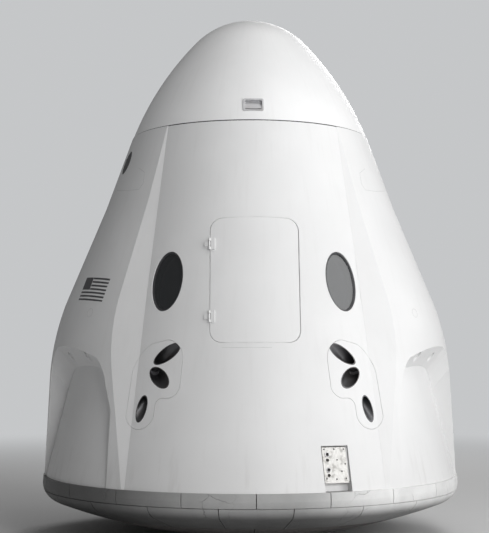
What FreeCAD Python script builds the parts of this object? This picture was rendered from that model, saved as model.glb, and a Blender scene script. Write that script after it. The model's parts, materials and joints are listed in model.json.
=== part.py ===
"""A crew space capsule: cabin cone, four engine pods, tiled heat shield and a hinged nose cone.

Frame: millimetres, +Z up, origin at the lowest point of the heat shield, side hatch facing -Y.
"Rise" is a height above the heat shield's rim.  "Azimuth" is an angle about the axis in degrees,
zero at the side hatch and growing towards +X.  The cabin cone is the datum of the whole body:
what stands proud of it, is cut in it or seats on it is measured from it.
"""
import FreeCAD, Part
import math
import os
import re

import Sketcher

doc = FreeCAD.newDocument("space_capsule")

# alias, value, what it is (millimetres, degrees or a count)
SIZES = (
    ("rim_rise", 580, "height of the heat shield's rim above its lowest point"),
    ("shell_rise", 3250, "rim to nose seam"),
    ("nose_rise", 1210, "nose seam to tip"),
    ("cone_base_radius", 1970, "cabin cone at the rim"),
    ("seam_radius", 1160, "cabin cone at the nose seam"),
    ("wall", 130, "cabin wall, level thickness"),
    ("seat_gap", 0.3, "clearance between curved pieces that seat on each other"),
    ("panel_gap", 3, "visible joint round a fixed panel"),
    ("seam_gap", 6, "joint between the nose cone and the cabin"),
    # heat shield
    ("rim_step", 30, "heat shield's rim outside the cabin cone"),
    ("corner_radius", 170, "heat shield's corner"),
    ("corner_drop", 68, "centre of that corner below the rim"),
    ("tile_depth", 60, "tile thickness"),
    ("tile_gap", 7, "joint between tiles"),
    ("tile_count", 20, "tiles in each rim row"),
    ("tile_split", 18, "angle below level, round the corner, where the rim rows meet"),
    ("lower_row_radius", 1560, "inner edge of the lower rim row"),
    ("base_row_radius", 840, "inner edge of the outer ring of base tiles"),
    ("base_tile_count", 12, "tiles in that ring"),
    # engine pods
    ("pod_base_proud", 15, "pod outside the cone at the rim, at the side"),
    ("pod_base_front", 5, "the same, towards the hatch"),
    ("shoulder_low_rise", 950, "start of the pod's rounded shoulder"),
    ("shoulder_low_proud", 214, "pod outside the cone there, at the side"),
    ("shoulder_high_rise", 1620, "end of the rounded shoulder"),
    ("shoulder_high_proud", 239, "pod outside the cone there, at the side"),
    ("shoulder_crown", 25, "shoulder's bulge past the line between those two"),
    ("pod_front_sink", 12, "pod's oval inside the cone, towards the hatch, over the shoulder"),
    ("pod_bend_rise", 2550, "bend between the pod's two straight slopes"),
    ("pod_bend_proud", 86, "pod outside the cone there, at the side"),
    ("pod_top_proud", 8, "pod outside the cone at the nose seam, at the side"),
    ("pod_top_front", 2, "the same, towards the hatch"),
    ("flank_azimuth", 37.2, "where the pod's flat flank leaves the cone"),
    ("flank_rise", 1520, "the same point"),
    ("flank_facing", 19, "azimuth that the flank faces"),
    ("flank_lean", 14.4, "lean of the flank"),
    ("recess_azimuth", 62.5, "middle of the engine recess"),
    ("recess_rise", 1200, "top of the recess's arch"),
    ("recess_lip_proud", 180, "pod surface at the top of the arch, outside the cone"),
    ("recess_tilt", 50, "slope of the recess's roof, rising outwards"),
    ("recess_top_half", 380, "half of the arch's level top"),
    ("recess_shoulder_half", 545, "half width where the arch's round corners end"),
    ("recess_shoulder_drop", 200, "depth of those corners"),
    ("recess_corner", 260, "radius of those corners"),
    ("recess_knee_half", 655, "half width on the flank side, at the knee"),
    ("recess_knee_drop", 420, "drop of the knee"),
    ("recess_foot_half", 800, "half width on the flank side, at the rim"),
    ("recess_column_half", 590, "half width on the column side, at the rim"),
    ("bell_offset", 205, "abort engine's axis from the middle of the recess"),
    ("bell_radius", 62, "bell at its mouth"),
    ("bell_throat", 28, "bell at its inner end"),
    ("bell_length", 300, "bell's length"),
    ("bell_wall", 7, "bell's wall"),
    ("bell_cant", 8, "bell's axis out of the vertical"),
    ("bell_mouth_proud", 80, "bell's axis outside the cone, at the mouth"),
    ("bell_mouth_rise", 1010, "rise of the mouth"),
    ("plug_sink", 25, "weather plug in the bell, above the recess's roof"),
    # control thrusters
    ("panel_azimuth", 30, "middle of the thruster panel"),
    ("panel_rise", 780, "middle of the thruster panel"),
    ("panel_depth", 100, "thruster panel's thickness, level"),
    ("port_wall", 6, "wall of a thruster's nozzle"),
    ("port_run_out", 200, "length of a nozzle's tool past the skin"),
    # oval port in the front left pod
    ("port_azimuth", -71, "its middle"),
    ("port_rise", 2975, "its middle"),
    ("port_half_length", 120, "half of its long axis, up the slope"),
    ("port_half_width", 98, "half of its short axis"),
    ("port_sink", 4, "plate below the pod's skin"),
    ("port_plate", 10, "plate thickness"),
    # windows and side port
    ("window_azimuth", 30.2, "window beside the hatch"),
    ("window_rise", 1780, "its middle"),
    ("window_half_length", 275, "half of its long axis, up the slope"),
    ("window_half_width", 157, "half of its short axis"),
    ("window_rim", 16, "window frame's width"),
    ("window_sink", 22, "glass below the cabin's skin"),
    ("glass_depth", 26, "glass thickness"),
    # side hatch
    ("hatch_rise", 1792, "middle of the side hatch"),
    ("hatch_half_width", 400, "half its opening's width"),
    ("hatch_half_length", 575, "half its opening's length, up the slope"),
    ("hatch_corner", 120, "corner radius of the opening"),
    ("hatch_gap", 8, "gap round the hatch"),
    ("hatch_bevel", 7, "bevel of the hatch's edge"),
    ("hinge_proud", 16, "hatch hinge axis outside the skin, over the middle of the gap"),
    ("knuckle_radius", 8, "hatch hinge knuckle"),
    ("knuckle_length", 44, "wall knuckle"),
    ("knuckle_side", 26, "each of the hatch's knuckles beside it"),
    ("knuckle_gap", 5, "between knuckles"),
    ("knuckle_offset", 330, "hinge from the hatch's middle"),
    ("hatch_pin", 4, "hatch hinge pin radius"),
    ("leaf_width", 46, "hinge leaf, across"),
    ("leaf_drop", 4, "leaf's top below the hinge axis"),
    ("pin_play", 0.06, "radial play of a hinge pin"),
    # umbilical bay
    ("bay_azimuth", 20.5, "umbilical bay"),
    ("bay_half_width", 124, "half its width"),
    ("bay_rise", 375, "top of the bay"),
    ("bay_depth", 80, "depth of the bay"),
    ("bay_plate_depth", 62, "connector plate's thickness"),
    ("bay_plate_drop", 14, "connector plate below the top of the bay"),
    ("bay_plate_foot", 70, "rise of the connector plate's foot"),
    ("socket_radius", 14, "connector socket"),
    ("socket_offset", 70, "sockets from the middle of the plate"),
    # nose cone
    ("nose_wall", 60, "nose cone's wall"),
    ("cap_radius", 760, "nose cone's round tip"),
    ("cap_angle", 46.5, "half angle of the tip"),
    ("ogive_radius", 2950, "nose cone's side"),
    ("nose_hinge_reach", 55, "nose hinge axis outside the seam"),
    ("nose_pin", 16, "nose hinge pin radius"),
    ("nose_knuckle", 34, "nose hinge knuckle radius"),
    ("lug_offset", 150, "bracket lug from the middle"),
    ("lug_width", 50, "hinge lug width"),
    ("fitting_half_width", 94, "handling fitting above the seam"),
    ("fitting_half_height", 66, "handling fitting"),
    ("fitting_rise", 175, "its middle above the seam"),
    ("fitting_depth", 36, "depth of its recess"),
    ("fitting_lean", 22, "its face out of the vertical"),
    ("fitting_edge", 15, "width of its raised edge"),
    ("fitting_floor", 6, "thickness of its floor"),
    ("fitting_bar", 24, "height of the bar across it"),
    # forward end
    ("bulkhead_drop", 130, "bulkhead's lower face below the seam"),
    ("bulkhead_depth", 60, "bulkhead's thickness"),
    ("tunnel_radius", 400, "docking tunnel's bore"),
    ("dock_tube_radius", 520, "docking adapter's tube"),
    ("dock_flange_radius", 620, "docking adapter's flanges"),
    ("dock_flange_depth", 40, "docking adapter's flanges"),
    ("dock_height", 300, "docking adapter above the bulkhead"),
    ("capture_depth", 46, "capture ring"),
    ("capture_width", 90, "capture ring"),
    ("petal_height", 150, "guide petal above the ring"),
    ("petal_half_width", 150, "half of a petal's foot"),
    ("petal_depth", 18, "petal thickness"),
    ("petal_lean", 35, "petal's inward lean"),
    ("hatch_lap", 40, "forward hatch's lap under the bulkhead"),
    ("lid_depth", 50, "forward hatch's thickness"),
    ("lid_gap", 6, "gap over the forward hatch"),
    ("lid_pin", 12, "forward hatch hinge pin radius"),
    ("lid_reach", 45, "forward hatch's hinge axis outside its edge"),
    ("forward_nozzle_radius", 75, "forward thruster's mouth"),
    ("forward_nozzle_throat", 26, "forward thruster's throat"),
    ("forward_nozzle_height", 150, "forward thruster above the bulkhead"),
    ("forward_nozzle_circle", 800, "forward thrusters from the axis"),
    # cabin
    ("floor_rise", 450, "cabin floor's lower face"),
    ("floor_depth", 70, "cabin floor"),
    ("tank_radius", 1480, "service equipment block"),
    ("tank_margin", 20, "that block's room below the floor"),
    ("seat_count", 4, "seats in a row"),
    ("seat_pitch", 600, "seat to seat"),
    ("seat_width", 500, "seat"),
    ("seat_depth", 80, "seat's shell"),
    ("seat_rise", 360, "seats above the floor"),
    ("back_end", 720, "couch's head end behind the axis"),
    ("back_end_lift", 150, "couch's head end above its hip fold"),
    ("hip_fold", 60, "hip fold in front of the axis"),
    ("knee", 330, "knee fold in front of the axis"),
    ("knee_lift", 310, "knee fold above the hip fold"),
    ("feet_end", 700, "couch's feet end in front of the axis"),
    ("feet_end_lift", 40, "that end above the hip fold"),
    ("rail_radius", 32, "seat frame rail"),
    ("leg_radius", 26, "seat frame and console legs"),
    ("back_rail", 560, "rear rail behind the axis"),
    ("console_width", 1300, "display console"),
    ("console_height", 330, "display console"),
    ("console_depth", 60, "display console"),
    ("console_rise", 980, "display console's foot above the floor"),
    ("console_y", 560, "display console from the axis, towards the hatch"),
)
NAMES = re.compile(r"\b(" + "|".join(alias for alias, _, _ in SIZES) + r")\b")


def fill_sheet():
    """Put every size in the sheet, one row each, under its alias."""
    filled = doc.addObject("Spreadsheet::Sheet", "Sheet")
    for row, (alias, number, meaning) in enumerate(SIZES, start=1):
        filled.set(f"A{row}", meaning)
        filled.set(f"B{row}", str(number))
        filled.setAlias(f"B{row}", alias)
    doc.recompute()
    return filled


sheet = fill_sheet()


# ---------------------------------------------------------------- formulas

def refer(formula):
    """The formula with each alias pointed at the sheet."""
    return NAMES.sub(r"Sheet.\1", str(formula))


def number(formula):
    """The formula's present value."""
    return float(sheet.evalExpression(refer(formula)))


def bind(thing, **formulas):
    """Bind properties of an object to formulas of the sheet's sizes."""
    for name, formula in formulas.items():
        thing.setExpression(name, refer(formula))
    return thing


def at(x="0", y="0", z="0", yaw="0", pitch="0", roll="0"):
    """A placement formula: a point and the turns about Z, Y and X."""
    return f"placement(vector({x}; {y}; {z}); rotation({yaw}; {pitch}; {roll}))"


def cone_at(rise):
    """Radius of the cabin cone at a rise."""
    return f"(cone_base_radius-(cone_base_radius-seam_radius)*({rise})/shell_rise)"


TAPER = "(atan((cone_base_radius-seam_radius)/shell_rise)/1deg)"
SEAM = "(rim_rise+shell_rise)"
RIM_RADIUS = "(cone_base_radius+rim_step)"
REACH = f"(3*{RIM_RADIUS})"


def face_at(azimuth, rise):
    """A placement on the cabin cone: X level and away from the hatch, Y up the slope, Z outwards."""
    radius = cone_at(rise)
    x = f"{radius}*sin({azimuth})"
    y = f"-{radius}*cos({azimuth})"
    return at(x, y, f"rim_rise+({rise})", azimuth, "0", f"90-{TAPER}")


def radial_at(azimuth, radius, rise, across="0", roll="90"):
    """A placement facing outwards at an azimuth: X level, Y up, Z outwards for a roll of 90."""
    x = f"({across})*cos({azimuth})+({radius})*sin({azimuth})"
    y = f"({across})*sin({azimuth})-({radius})*cos({azimuth})"
    return at(x, y, f"rim_rise+({rise})", azimuth, "0", roll)


# ---------------------------------------------------------------- building blocks

def draw(sketch, points):
    """Draw a closed outline and bind every corner and radius.

    Each point is (x, y), or (x, y, radius, turn) where an arc leaves it for the next point,
    with turn 1 for counter-clockwise and -1 for clockwise.
    """
    corners = [(number(point[0]), number(point[1])) for point in points]
    constraints = []
    formulas = []

    def ends(index):
        return (2, 1) if len(points[index]) > 2 and points[index][3] < 0 else (1, 2)

    def constrain(formula, *parts):
        constraints.append(Sketcher.Constraint(*parts))
        formulas.append(formula)

    for index, point in enumerate(points):
        start = FreeCAD.Vector(*corners[index], 0)
        end = FreeCAD.Vector(*corners[(index + 1) % len(points)], 0)
        if len(point) == 2:
            sketch.addGeometry(Part.LineSegment(start, end), False)
            continue
        radius = number(point[2])
        chord = end - start
        normal = FreeCAD.Vector(-chord.y, chord.x, 0).normalize()
        height = math.sqrt(max(radius ** 2 - (chord.Length / 2) ** 2, 0))
        centre = (start + end) / 2 + normal * height * point[3]
        angles = [math.atan2(tip.y - centre.y, tip.x - centre.x) for tip in (start, end)]
        circle = Part.Circle(centre, FreeCAD.Vector(0, 0, 1), radius)
        sketch.addGeometry(Part.ArcOfCircle(circle, *angles[::point[3]]), False)
    for index, point in enumerate(points):
        follower = (index + 1) % len(points)
        start, end = ends(index)
        constrain(None, "Coincident", index, end, follower, ends(follower)[0])
        constrain(point[0], "DistanceX", index, start, corners[index][0])
        constrain(point[1], "DistanceY", index, start, corners[index][1])
        if len(point) > 2:
            constrain(point[2], "Radius", index, number(point[2]))
    sketch.addConstraint(constraints)
    for index, formula in enumerate(formulas):
        if formula is not None:
            sketch.setExpression(f"Constraints[{index}]", refer(formula))


def new_body(label, plane, points):
    """A body with one sketch on one of its own origin planes."""
    body = doc.addObject("PartDesign::Body", label)
    body.Label = label
    sketch = body.newObject("Sketcher::SketchObject", label + "_sketch")
    support = next(item for item in body.Origin.OriginFeatures if item.Role == plane)
    sketch.AttachmentSupport = [(support, "")]
    sketch.MapMode = "FlatFace"
    draw(sketch, points)
    return body, sketch


def revolved(label, points, angle="360", placement=None, reverse=False):
    """A body turned about Z from an outline of (radius, height) points."""
    body, sketch = new_body(label, "XZ_Plane", points)
    turn = body.newObject("PartDesign::Revolution", label + "_turn")
    turn.Profile = sketch
    turn.ReferenceAxis = (sketch, ["V_Axis"])
    turn.Reversed = reverse
    bind(turn, Angle=angle)
    if placement:
        bind(body, Placement=placement)
    return body


def repeated(body, count):
    """Repeat a body's last feature evenly about Z."""
    feature = body.Tip
    pattern = body.newObject("PartDesign::PolarPattern", body.Name + "_ring")
    pattern.Originals = [feature]
    axis = next(item for item in body.Origin.OriginFeatures if item.Role == "Z_Axis")
    pattern.Axis = (axis, [""])
    pattern.Angle = 360
    bind(pattern, Occurrences=count)
    body.Tip = pattern
    return body


def padded(label, points, length, placement=None, both_ways=False):
    """A body padded along Z from an outline."""
    body, sketch = new_body(label, "XY_Plane", points)
    pad = body.newObject("PartDesign::Pad", label + "_pad")
    pad.Profile = sketch
    if both_ways:
        pad.SideType = "Symmetric"
    bind(pad, Length=length)
    if placement:
        bind(body, Placement=placement)
    return body


def primitive(kind, label, placement=None, **sizes):
    """A Part primitive with bound sizes."""
    made = doc.addObject("Part::" + kind, label)
    made.Label = label
    bind(made, **sizes)
    if placement:
        bind(made, Placement=placement)
    return made


def cut(label, base, tool):
    """One object less another."""
    made = doc.addObject("Part::Cut", label)
    made.Label = label
    made.Base = base
    made.Tool = tool
    return made


def fuse(label, *shapes):
    """Several objects joined."""
    made = doc.addObject("Part::MultiFuse", label)
    made.Label = label
    made.Shapes = list(shapes)
    return made


def common(label, *shapes):
    """What several objects share."""
    made = doc.addObject("Part::MultiCommon", label)
    made.Label = label
    made.Shapes = list(shapes)
    return made


def gather(label, *shapes):
    """Several separate solids in one node."""
    made = doc.addObject("Part::Compound", label)
    made.Label = label
    made.Links = list(shapes)
    return made


def mirrored(label, source, across):
    """The mirror image of an object across the plane whose normal is given."""
    made = doc.addObject("Part::Mirroring", label)
    made.Label = label
    made.Source = source
    made.Normal = across
    return made


def cabin_cone(label, inset, low="0", high="shell_rise"):
    """The solid cabin cone, inset level by so much, between two rises."""
    return primitive(
        "Cone", label, at(z=f"rim_rise+({low})"),
        Radius1=f"{cone_at(low)}-({inset})",
        Radius2=f"{cone_at(high)}-({inset})",
        Height=f"({high})-({low})",
    )


def rounded(half_width, half_height, corner):
    """A rounded rectangle about the origin, counter-clockwise."""
    wide, tall = f"({half_width})", f"({half_height})"
    inner_x, inner_y = f"({wide}-({corner}))", f"({tall}-({corner}))"
    return (
        (f"-{inner_x}", f"-{tall}"),
        (inner_x, f"-{tall}", corner, 1),
        (wide, f"-{inner_y}"),
        (wide, inner_y, corner, 1),
        (inner_x, tall),
        (f"-{inner_x}", tall, corner, 1),
        (f"-{wide}", inner_y),
        (f"-{wide}", f"-{inner_y}", corner, 1),
    )


def rectangle(x_low, x_high, y_low, y_high):
    """A plain rectangle, counter-clockwise."""
    return ((x_low, y_low), (x_high, y_low), (x_high, y_high), (x_low, y_high))


def oval(label, place, length, width, shrink, low, high):
    """An elliptical plug of a half length and half width, between two heights off the skin."""
    middle = f"(({low})+({high}))/2"
    ring = primitive("Ellipse", label + "_outline", f"{place} * {at(z=middle, yaw='90')}",
                     MajorRadius=f"{length}-({shrink})", MinorRadius=f"{width}-({shrink})")
    made = primitive("Extrusion", label, LengthFwd=f"({high})-({low})")
    made.Base = ring
    made.DirMode = "Normal"
    made.Symmetric = True
    made.Solid = True
    return made


parts = {}


def keep(made):
    """Note an object as a finished sub-part, named by its label."""
    parts[made.Label] = made
    return made


# ---------------------------------------------------------------- heat shield

CORNER_X = f"({RIM_RADIUS}-corner_radius)"
CORNER_Z = "(rim_rise-corner_drop)"
# the dome's radius follows from its lowest point at the origin and the corner it runs into
DOME = f"(({CORNER_X}^2+{CORNER_Z}^2-corner_radius^2)/(2*({CORNER_Z}-corner_radius)))"


def corner_point(inset, angle):
    """A point round the heat shield's corner, so many degrees below level."""
    radius = f"(corner_radius-({inset}))"
    return f"({CORNER_X}+{radius}*cos({angle}))", f"({CORNER_Z}-{radius}*sin({angle}))"


def corner_end(inset):
    """Where the corner runs into the dome."""
    share = f"(({DOME}-({inset}))/({DOME}-corner_radius))"
    return f"({CORNER_X}*{share})", f"({DOME}+({CORNER_Z}-{DOME})*{share})"


def dome_point(inset, radius):
    """A point on the dome, so far from the axis."""
    return f"({radius})", f"({DOME}-sqrt(({DOME}-({inset}))^2-({radius})^2))"


def make_heat_shield():
    """The carrier dish, two rim rows of tiles, a ring of base tiles and the centre tile."""
    inset = "(tile_depth+seat_gap)"
    keep(revolved("heat_shield_carrier", (
        ("0", inset, f"({DOME}-{inset})", 1),
        (*corner_end(inset), f"(corner_radius-{inset})", 1),
        (f"({RIM_RADIUS}-{inset})", CORNER_Z),
        (f"({RIM_RADIUS}-{inset})", "rim_rise"),
        ("0", "rim_rise"),
    )))
    pitch = "(360/tile_count)"
    tile_angle = f"({pitch}-180/pi*tile_gap/{RIM_RADIUS})"
    keep(repeated(revolved("rim_tiles_upper", (
        (*corner_point("0", "tile_split"), "corner_radius", 1),
        (RIM_RADIUS, CORNER_Z),
        (f"({RIM_RADIUS}-seam_gap)", "rim_rise"),
        (f"({RIM_RADIUS}-tile_depth)", "rim_rise"),
        (f"({RIM_RADIUS}-tile_depth)", CORNER_Z, "(corner_radius-tile_depth)", -1),
        corner_point("tile_depth", "tile_split"),
    ), tile_angle), "tile_count"))
    split = "(tile_split+180/pi*tile_gap/corner_radius)"
    keep(repeated(revolved("rim_tiles_lower", (
        (*dome_point("0", "lower_row_radius"), DOME, 1),
        (*corner_end("0"), "corner_radius", 1),
        corner_point("0", split),
        (*corner_point("tile_depth", split), "(corner_radius-tile_depth)", -1),
        (*corner_end("tile_depth"), f"({DOME}-tile_depth)", -1),
        dome_point("tile_depth", "lower_row_radius"),
    ), tile_angle, at(yaw=f"{pitch}/2")), "tile_count"))
    ring_angle = "(360/base_tile_count-180/pi*tile_gap/lower_row_radius)"
    ring = repeated(revolved("base_ring", (
        (*dome_point("0", "base_row_radius"), DOME, 1),
        dome_point("0", "lower_row_radius-tile_gap"),
        (*dome_point("tile_depth", "lower_row_radius-tile_gap"), f"({DOME}-tile_depth)", -1),
        dome_point("tile_depth", "base_row_radius"),
    ), ring_angle), "base_tile_count")
    centre = revolved("base_centre", (
        ("0", "0", DOME, 1),
        dome_point("0", "base_row_radius-tile_gap"),
        (*dome_point("tile_depth", "base_row_radius-tile_gap"), f"({DOME}-tile_depth)", -1),
        ("0", "tile_depth"),
    ))
    keep(gather("base_tiles", ring, centre))


# ---------------------------------------------------------------- quadrants

# normals of the mirror planes that carry the front right quadrant to the others
QUADRANTS = (
    ("front_right", ()),
    ("front_left", ((1, 0, 0),)),
    ("rear_right", ((0, 1, 0),)),
    ("rear_left", ((1, 0, 0), (0, 1, 0))),
)


def keep_quadrants(kind, master, holes=None):
    """Keep the front right master and its mirror images, any of them with its own hole."""
    for quadrant, planes in QUADRANTS:
        piece = master
        for step, normal in enumerate(planes):
            last = step == len(planes) - 1
            label = f"{kind}_{quadrant}" if last else f"{kind}_{quadrant}_turned"
            if last and holes and quadrant in holes:
                whole = mirrored(f"{label}_whole", piece, normal)
                piece = cut(label, whole, holes[quadrant])
            else:
                piece = mirrored(label, piece, normal)
        keep(piece)


# rise, pod's oval outside the cone at the side, the same towards the hatch
SHOULDER = "((shoulder_low_rise+shoulder_high_rise)/2)"
SECTIONS = (
    ("0", "pod_base_proud", "pod_base_front"),
    ("shoulder_low_rise", "shoulder_low_proud", "-pod_front_sink"),
    (SHOULDER, "((shoulder_low_proud+shoulder_high_proud)/2+shoulder_crown)", "-pod_front_sink"),
    ("shoulder_high_rise", "shoulder_high_proud", "-pod_front_sink"),
    ("pod_bend_rise", "pod_bend_proud", "0"),
    ("shell_rise", "pod_top_proud", "pod_top_front"),
)


def make_pod_blank():
    """The front right pod with no recess: stacked oval lofts cut by its flat flank and the cone."""
    ovals = []
    for index, (rise, side, front) in enumerate(SECTIONS):
        ovals.append(primitive(
            "Ellipse", f"pod_oval_{index}", at(z=f"rim_rise+{rise}", yaw="180"),
            MajorRadius=f"{cone_at(rise)}+({side})", MinorRadius=f"{cone_at(rise)}+({front})"))
    lofts = []
    for first, last in ((0, 1), (1, 3), (3, 4), (4, 5)):
        loft = doc.addObject("Part::Loft", f"pod_loft_{first}")
        loft.Sections = ovals[first:last + 1]
        loft.Solid = True
        loft.Ruled = last == first + 1
        lofts.append(loft)
    quarter = primitive("Box", "pod_quarter", at("seam_radius/2", f"-{REACH}", "rim_rise"),
                        Length=REACH, Width=REACH, Height="shell_rise")
    radius = cone_at("flank_rise")
    side = padded(
        "pod_side", rectangle(f"-{REACH}", REACH, f"-{REACH}", REACH), REACH,
        at(f"{radius}*sin(flank_azimuth)", f"-{radius}*cos(flank_azimuth)", "rim_rise+flank_rise",
           "flank_facing", "0", "-(90+flank_lean)"),
    )
    whole = common("pod_whole", fuse("pod_lofts", *lofts), quarter, side)
    return cut("pod_blank", whole,
               cabin_cone("pod_seat", "-seat_gap", "-corner_drop", "shell_rise+corner_drop"))


def make_recess(label, deeper):
    """The arched engine recess, square to its own sloping roof, with the roof so much deeper."""
    lean = "cos(recess_tilt)"
    foot = f"-((recess_rise+4*corner_drop)*{lean})"
    outline = (
        ("-recess_foot_half", foot),
        ("recess_column_half", foot),
        ("recess_shoulder_half", f"-(recess_shoulder_drop*{lean})", "recess_corner", 1),
        ("recess_top_half", "0"),
        ("-recess_top_half", "0", "recess_corner", 1),
        ("-recess_shoulder_half", f"-(recess_shoulder_drop*{lean})"),
        ("-recess_knee_half", f"-(recess_knee_drop*{lean})"),
    )
    lip = f"({cone_at('recess_rise')}+recess_lip_proud)"
    place = radial_at("recess_azimuth", lip, "recess_rise", roll="90-recess_tilt")
    return padded(label, outline, REACH, f"{place} * {at(y=deeper)}", both_ways=True)


def bell_cone(label, side, grow, shorten):
    """One abort engine's bell as a solid cone, its wall moved outwards by grow."""
    place = radial_at("recess_azimuth", f"{cone_at('bell_mouth_rise')}+bell_mouth_proud",
                      "bell_mouth_rise", f"{side}*bell_offset", "-bell_cant")
    return primitive("Cone", label, place, Radius1=f"bell_radius+({grow})",
                     Radius2=f"bell_throat+({grow})", Height=f"bell_length-({shorten})")


def make_side_port():
    """The oval port in the front left pod; the tool that pockets the pod is returned."""
    top = "((shell_rise-port_rise)/(shell_rise-pod_bend_rise))"
    side = f"(pod_top_proud+(pod_bend_proud-pod_top_proud)*{top})"
    proud = f"{side}*sin(port_azimuth)^2"
    slope = (f"(atan(({cone_at('pod_bend_rise')}+pod_bend_proud-seam_radius-pod_top_proud)"
             f"/(shell_rise-pod_bend_rise))/1deg)")
    place = radial_at("port_azimuth", f"{cone_at('port_rise')}+{proud}", "port_rise",
                      roll=f"90-{slope}")
    length, width = "port_half_length", "port_half_width"
    low = "-(port_sink+port_plate)"
    keep(oval("side_port", place, length, width, "seat_gap", low, "-port_sink"))
    return oval("side_port_hole", place, length, width, "0", f"{low}-seat_gap", "wall")


def make_engine_pods(pod, panel_hole, port_hole):
    """Four pods, each with a recess and two plugged abort engines in its roof."""
    trimmed = cut("pod_trimmed", pod, make_recess("recess", "0"))
    sunk = make_recess("recess_sunk", "plug_sink")
    bells = []
    seats = []
    for name, side in (("inner", -1), ("outer", 1)):
        mouth = common(f"bell_{name}_mouth", bell_cone(f"bell_{name}_inside", side, "-bell_wall",
                                                       "2*bell_wall"), sunk)
        bell = common(f"bell_{name}_whole", bell_cone(f"bell_{name}_outside", side, "0", "0"),
                      trimmed)
        bells.append(cut(f"bell_{name}", bell, mouth))
        seats.append(bell_cone(f"bell_{name}_seat", side, "seat_gap", "-seat_gap"))
    keep_quadrants("engine_pod", cut("engine_pod_front_right", trimmed,
                                     fuse("pod_tools", *seats, panel_hole)),
                   {"front_left": port_hole})
    keep_quadrants("abort_nozzles", gather("abort_nozzles_front_right", *bells))


# azimuth, rise, mouth radius, throat radius, length, angle out of the skin, turn of the plume
PORTS = (
    ("27.4", "1125", "61", "41", "180", "25.5", "35"),
    ("29.0", "958", "68", "43", "125", "36", "-39"),
    ("32.5", "697", "52", "34", "170", "27", "-98"),
)


def panel_outline(gap):
    """The thruster panel's outline, moved inwards by a gap."""
    return (
        (f"(-50+{gap})", "-180", f"(144-{gap})", 1),
        (f"(230-{gap})", "-180"),
        (f"(230-{gap})", "200", f"(330-{gap})", 1),
        ("60", f"(465-{gap})"),
        ("-90", f"(500-{gap})", f"(180-{gap})", 1),
        (f"(-255+{gap})", "330"),
        (f"(-262+{gap})", "90", f"(120-{gap})", 1),
        ("-170", f"(-15+{gap})"),
        ("-120", f"(-15+{gap})", f"(70+{gap})", -1),
        (f"(-50+{gap})", "-85"),
    )


def make_thrusters(pod):
    """Four panels of three control thrusters, each lying over the cone and its pod's flank.

    The hole through the pod and the tool that pockets the wall are returned.
    """
    place = face_at("panel_azimuth", "panel_rise")
    depth = "(2*panel_depth)"
    hole = padded("panel_hole", panel_outline("0"), f"2*{depth}", place, both_ways=True)
    plug = padded("panel_plug", panel_outline("panel_gap"), f"2*{depth}", place, both_ways=True)
    skin = fuse("panel_skin", cabin_cone("panel_cone", "-2*seat_gap"), pod)
    seat = cabin_cone("panel_seat", "panel_depth-seat_gap", "-corner_drop", "shell_rise+corner_drop")
    pocket = cut("panel_pocket", hole, cabin_cone("panel_floor", "panel_depth"))
    blank = cut("panel_blank", common("panel_patch", plug, skin), seat)
    nozzles = []
    seats = []
    for index, (azimuth, rise, mouth, throat, length, graze, turn) in enumerate(PORTS, start=1):
        slope = f"(({mouth}-{throat})/{length})"
        beyond = "port_run_out"
        aim = f"rotation(180-({turn}); 90-({graze}); 0)"
        spot = f"{face_at(azimuth, rise)} * placement(vector(0; 0; 0); {aim})"
        place = f"{spot} * placement(vector(0; 0; -({length})); rotation(0; 0; 0))"

        def cone(label, grow, start):
            return primitive(
                "Cone", label, f"{place} * placement(vector(0; 0; {start}); rotation(0; 0; 0))",
                Radius1=f"{throat}+({grow})+{slope}*({start})",
                Radius2=f"{mouth}+({grow})+{slope}*{beyond}",
                Height=f"{length}+{beyond}-({start})",
            )

        shell = cut(f"port_{index}_shell", cone(f"port_{index}_outside", "0", "0"),
                    cone(f"port_{index}_inside", "-port_wall", "2*port_wall"))
        nozzle = common(f"port_{index}", shell, blank)
        for beside, seat in enumerate(seats, start=1):
            nozzle = cut(f"port_{index}_clear_of_{beside}", nozzle, seat)
        nozzles.append(nozzle)
        seats.append(cone(f"port_{index}_seat", "seat_gap", "-seat_gap"))
    keep_quadrants("thruster_panel",
                   cut("thruster_panel_front_right", blank, fuse("port_seats", *seats)))
    keep_quadrants("thruster_nozzles", gather("thruster_nozzles_front_right", *nozzles))
    return hole, pocket


# ---------------------------------------------------------------- cabin wall and its openings

def make_windows():
    """Two windows beside the hatch; the right-hand opening's tool is returned."""
    place = face_at("window_azimuth", "window_rise")
    size = (place, "window_half_length", "window_half_width")
    opening = oval("window_opening", *size, "0", "-2*wall", "wall")
    skin = cabin_cone("window_skin", "window_sink/2")
    inside = cabin_cone("window_inside", "wall", "0", "shell_rise+corner_drop")
    sleeve = cut("window_sleeve", oval("window_sleeve_outside", *size, "seat_gap", "-2*wall", "wall"),
                 oval("window_sleeve_inside", *size, "window_rim", "-3*wall", "2*wall"))
    frame = cut("window_frame_right", common("window_frame_skin", sleeve, skin), inside)
    keep(gather("window_frames", frame, mirrored("window_frame_left", frame, (1, 0, 0))))
    low = "-(window_sink+glass_depth)"
    glass = keep(oval("window_right", *size, "window_rim+seat_gap", low, "-window_sink"))
    keep(mirrored("window_left", glass, (1, 0, 0)))
    return opening


HATCH_FACE = face_at("0", "hatch_rise")
# the skin across the hatch is an arc of this radius; the hinge stands over the middle of the gap
HATCH_ARC = f"({cone_at('hatch_rise')}/cos({TAPER}))"
HATCH_EDGE = f"(hatch_half_width-hatch_gap/2-hatch_half_width^2/2/{HATCH_ARC}*tan(hatch_bevel))"
HINGE_LEAN = f"(asin({HATCH_EDGE}/{HATCH_ARC})/1deg)"
HINGE_X = f"(-({HATCH_ARC}+hinge_proud)*sin({HINGE_LEAN}))"
HINGE_Z = f"(({HATCH_ARC}+hinge_proud)*cos({HINGE_LEAN})-{HATCH_ARC})"
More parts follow.
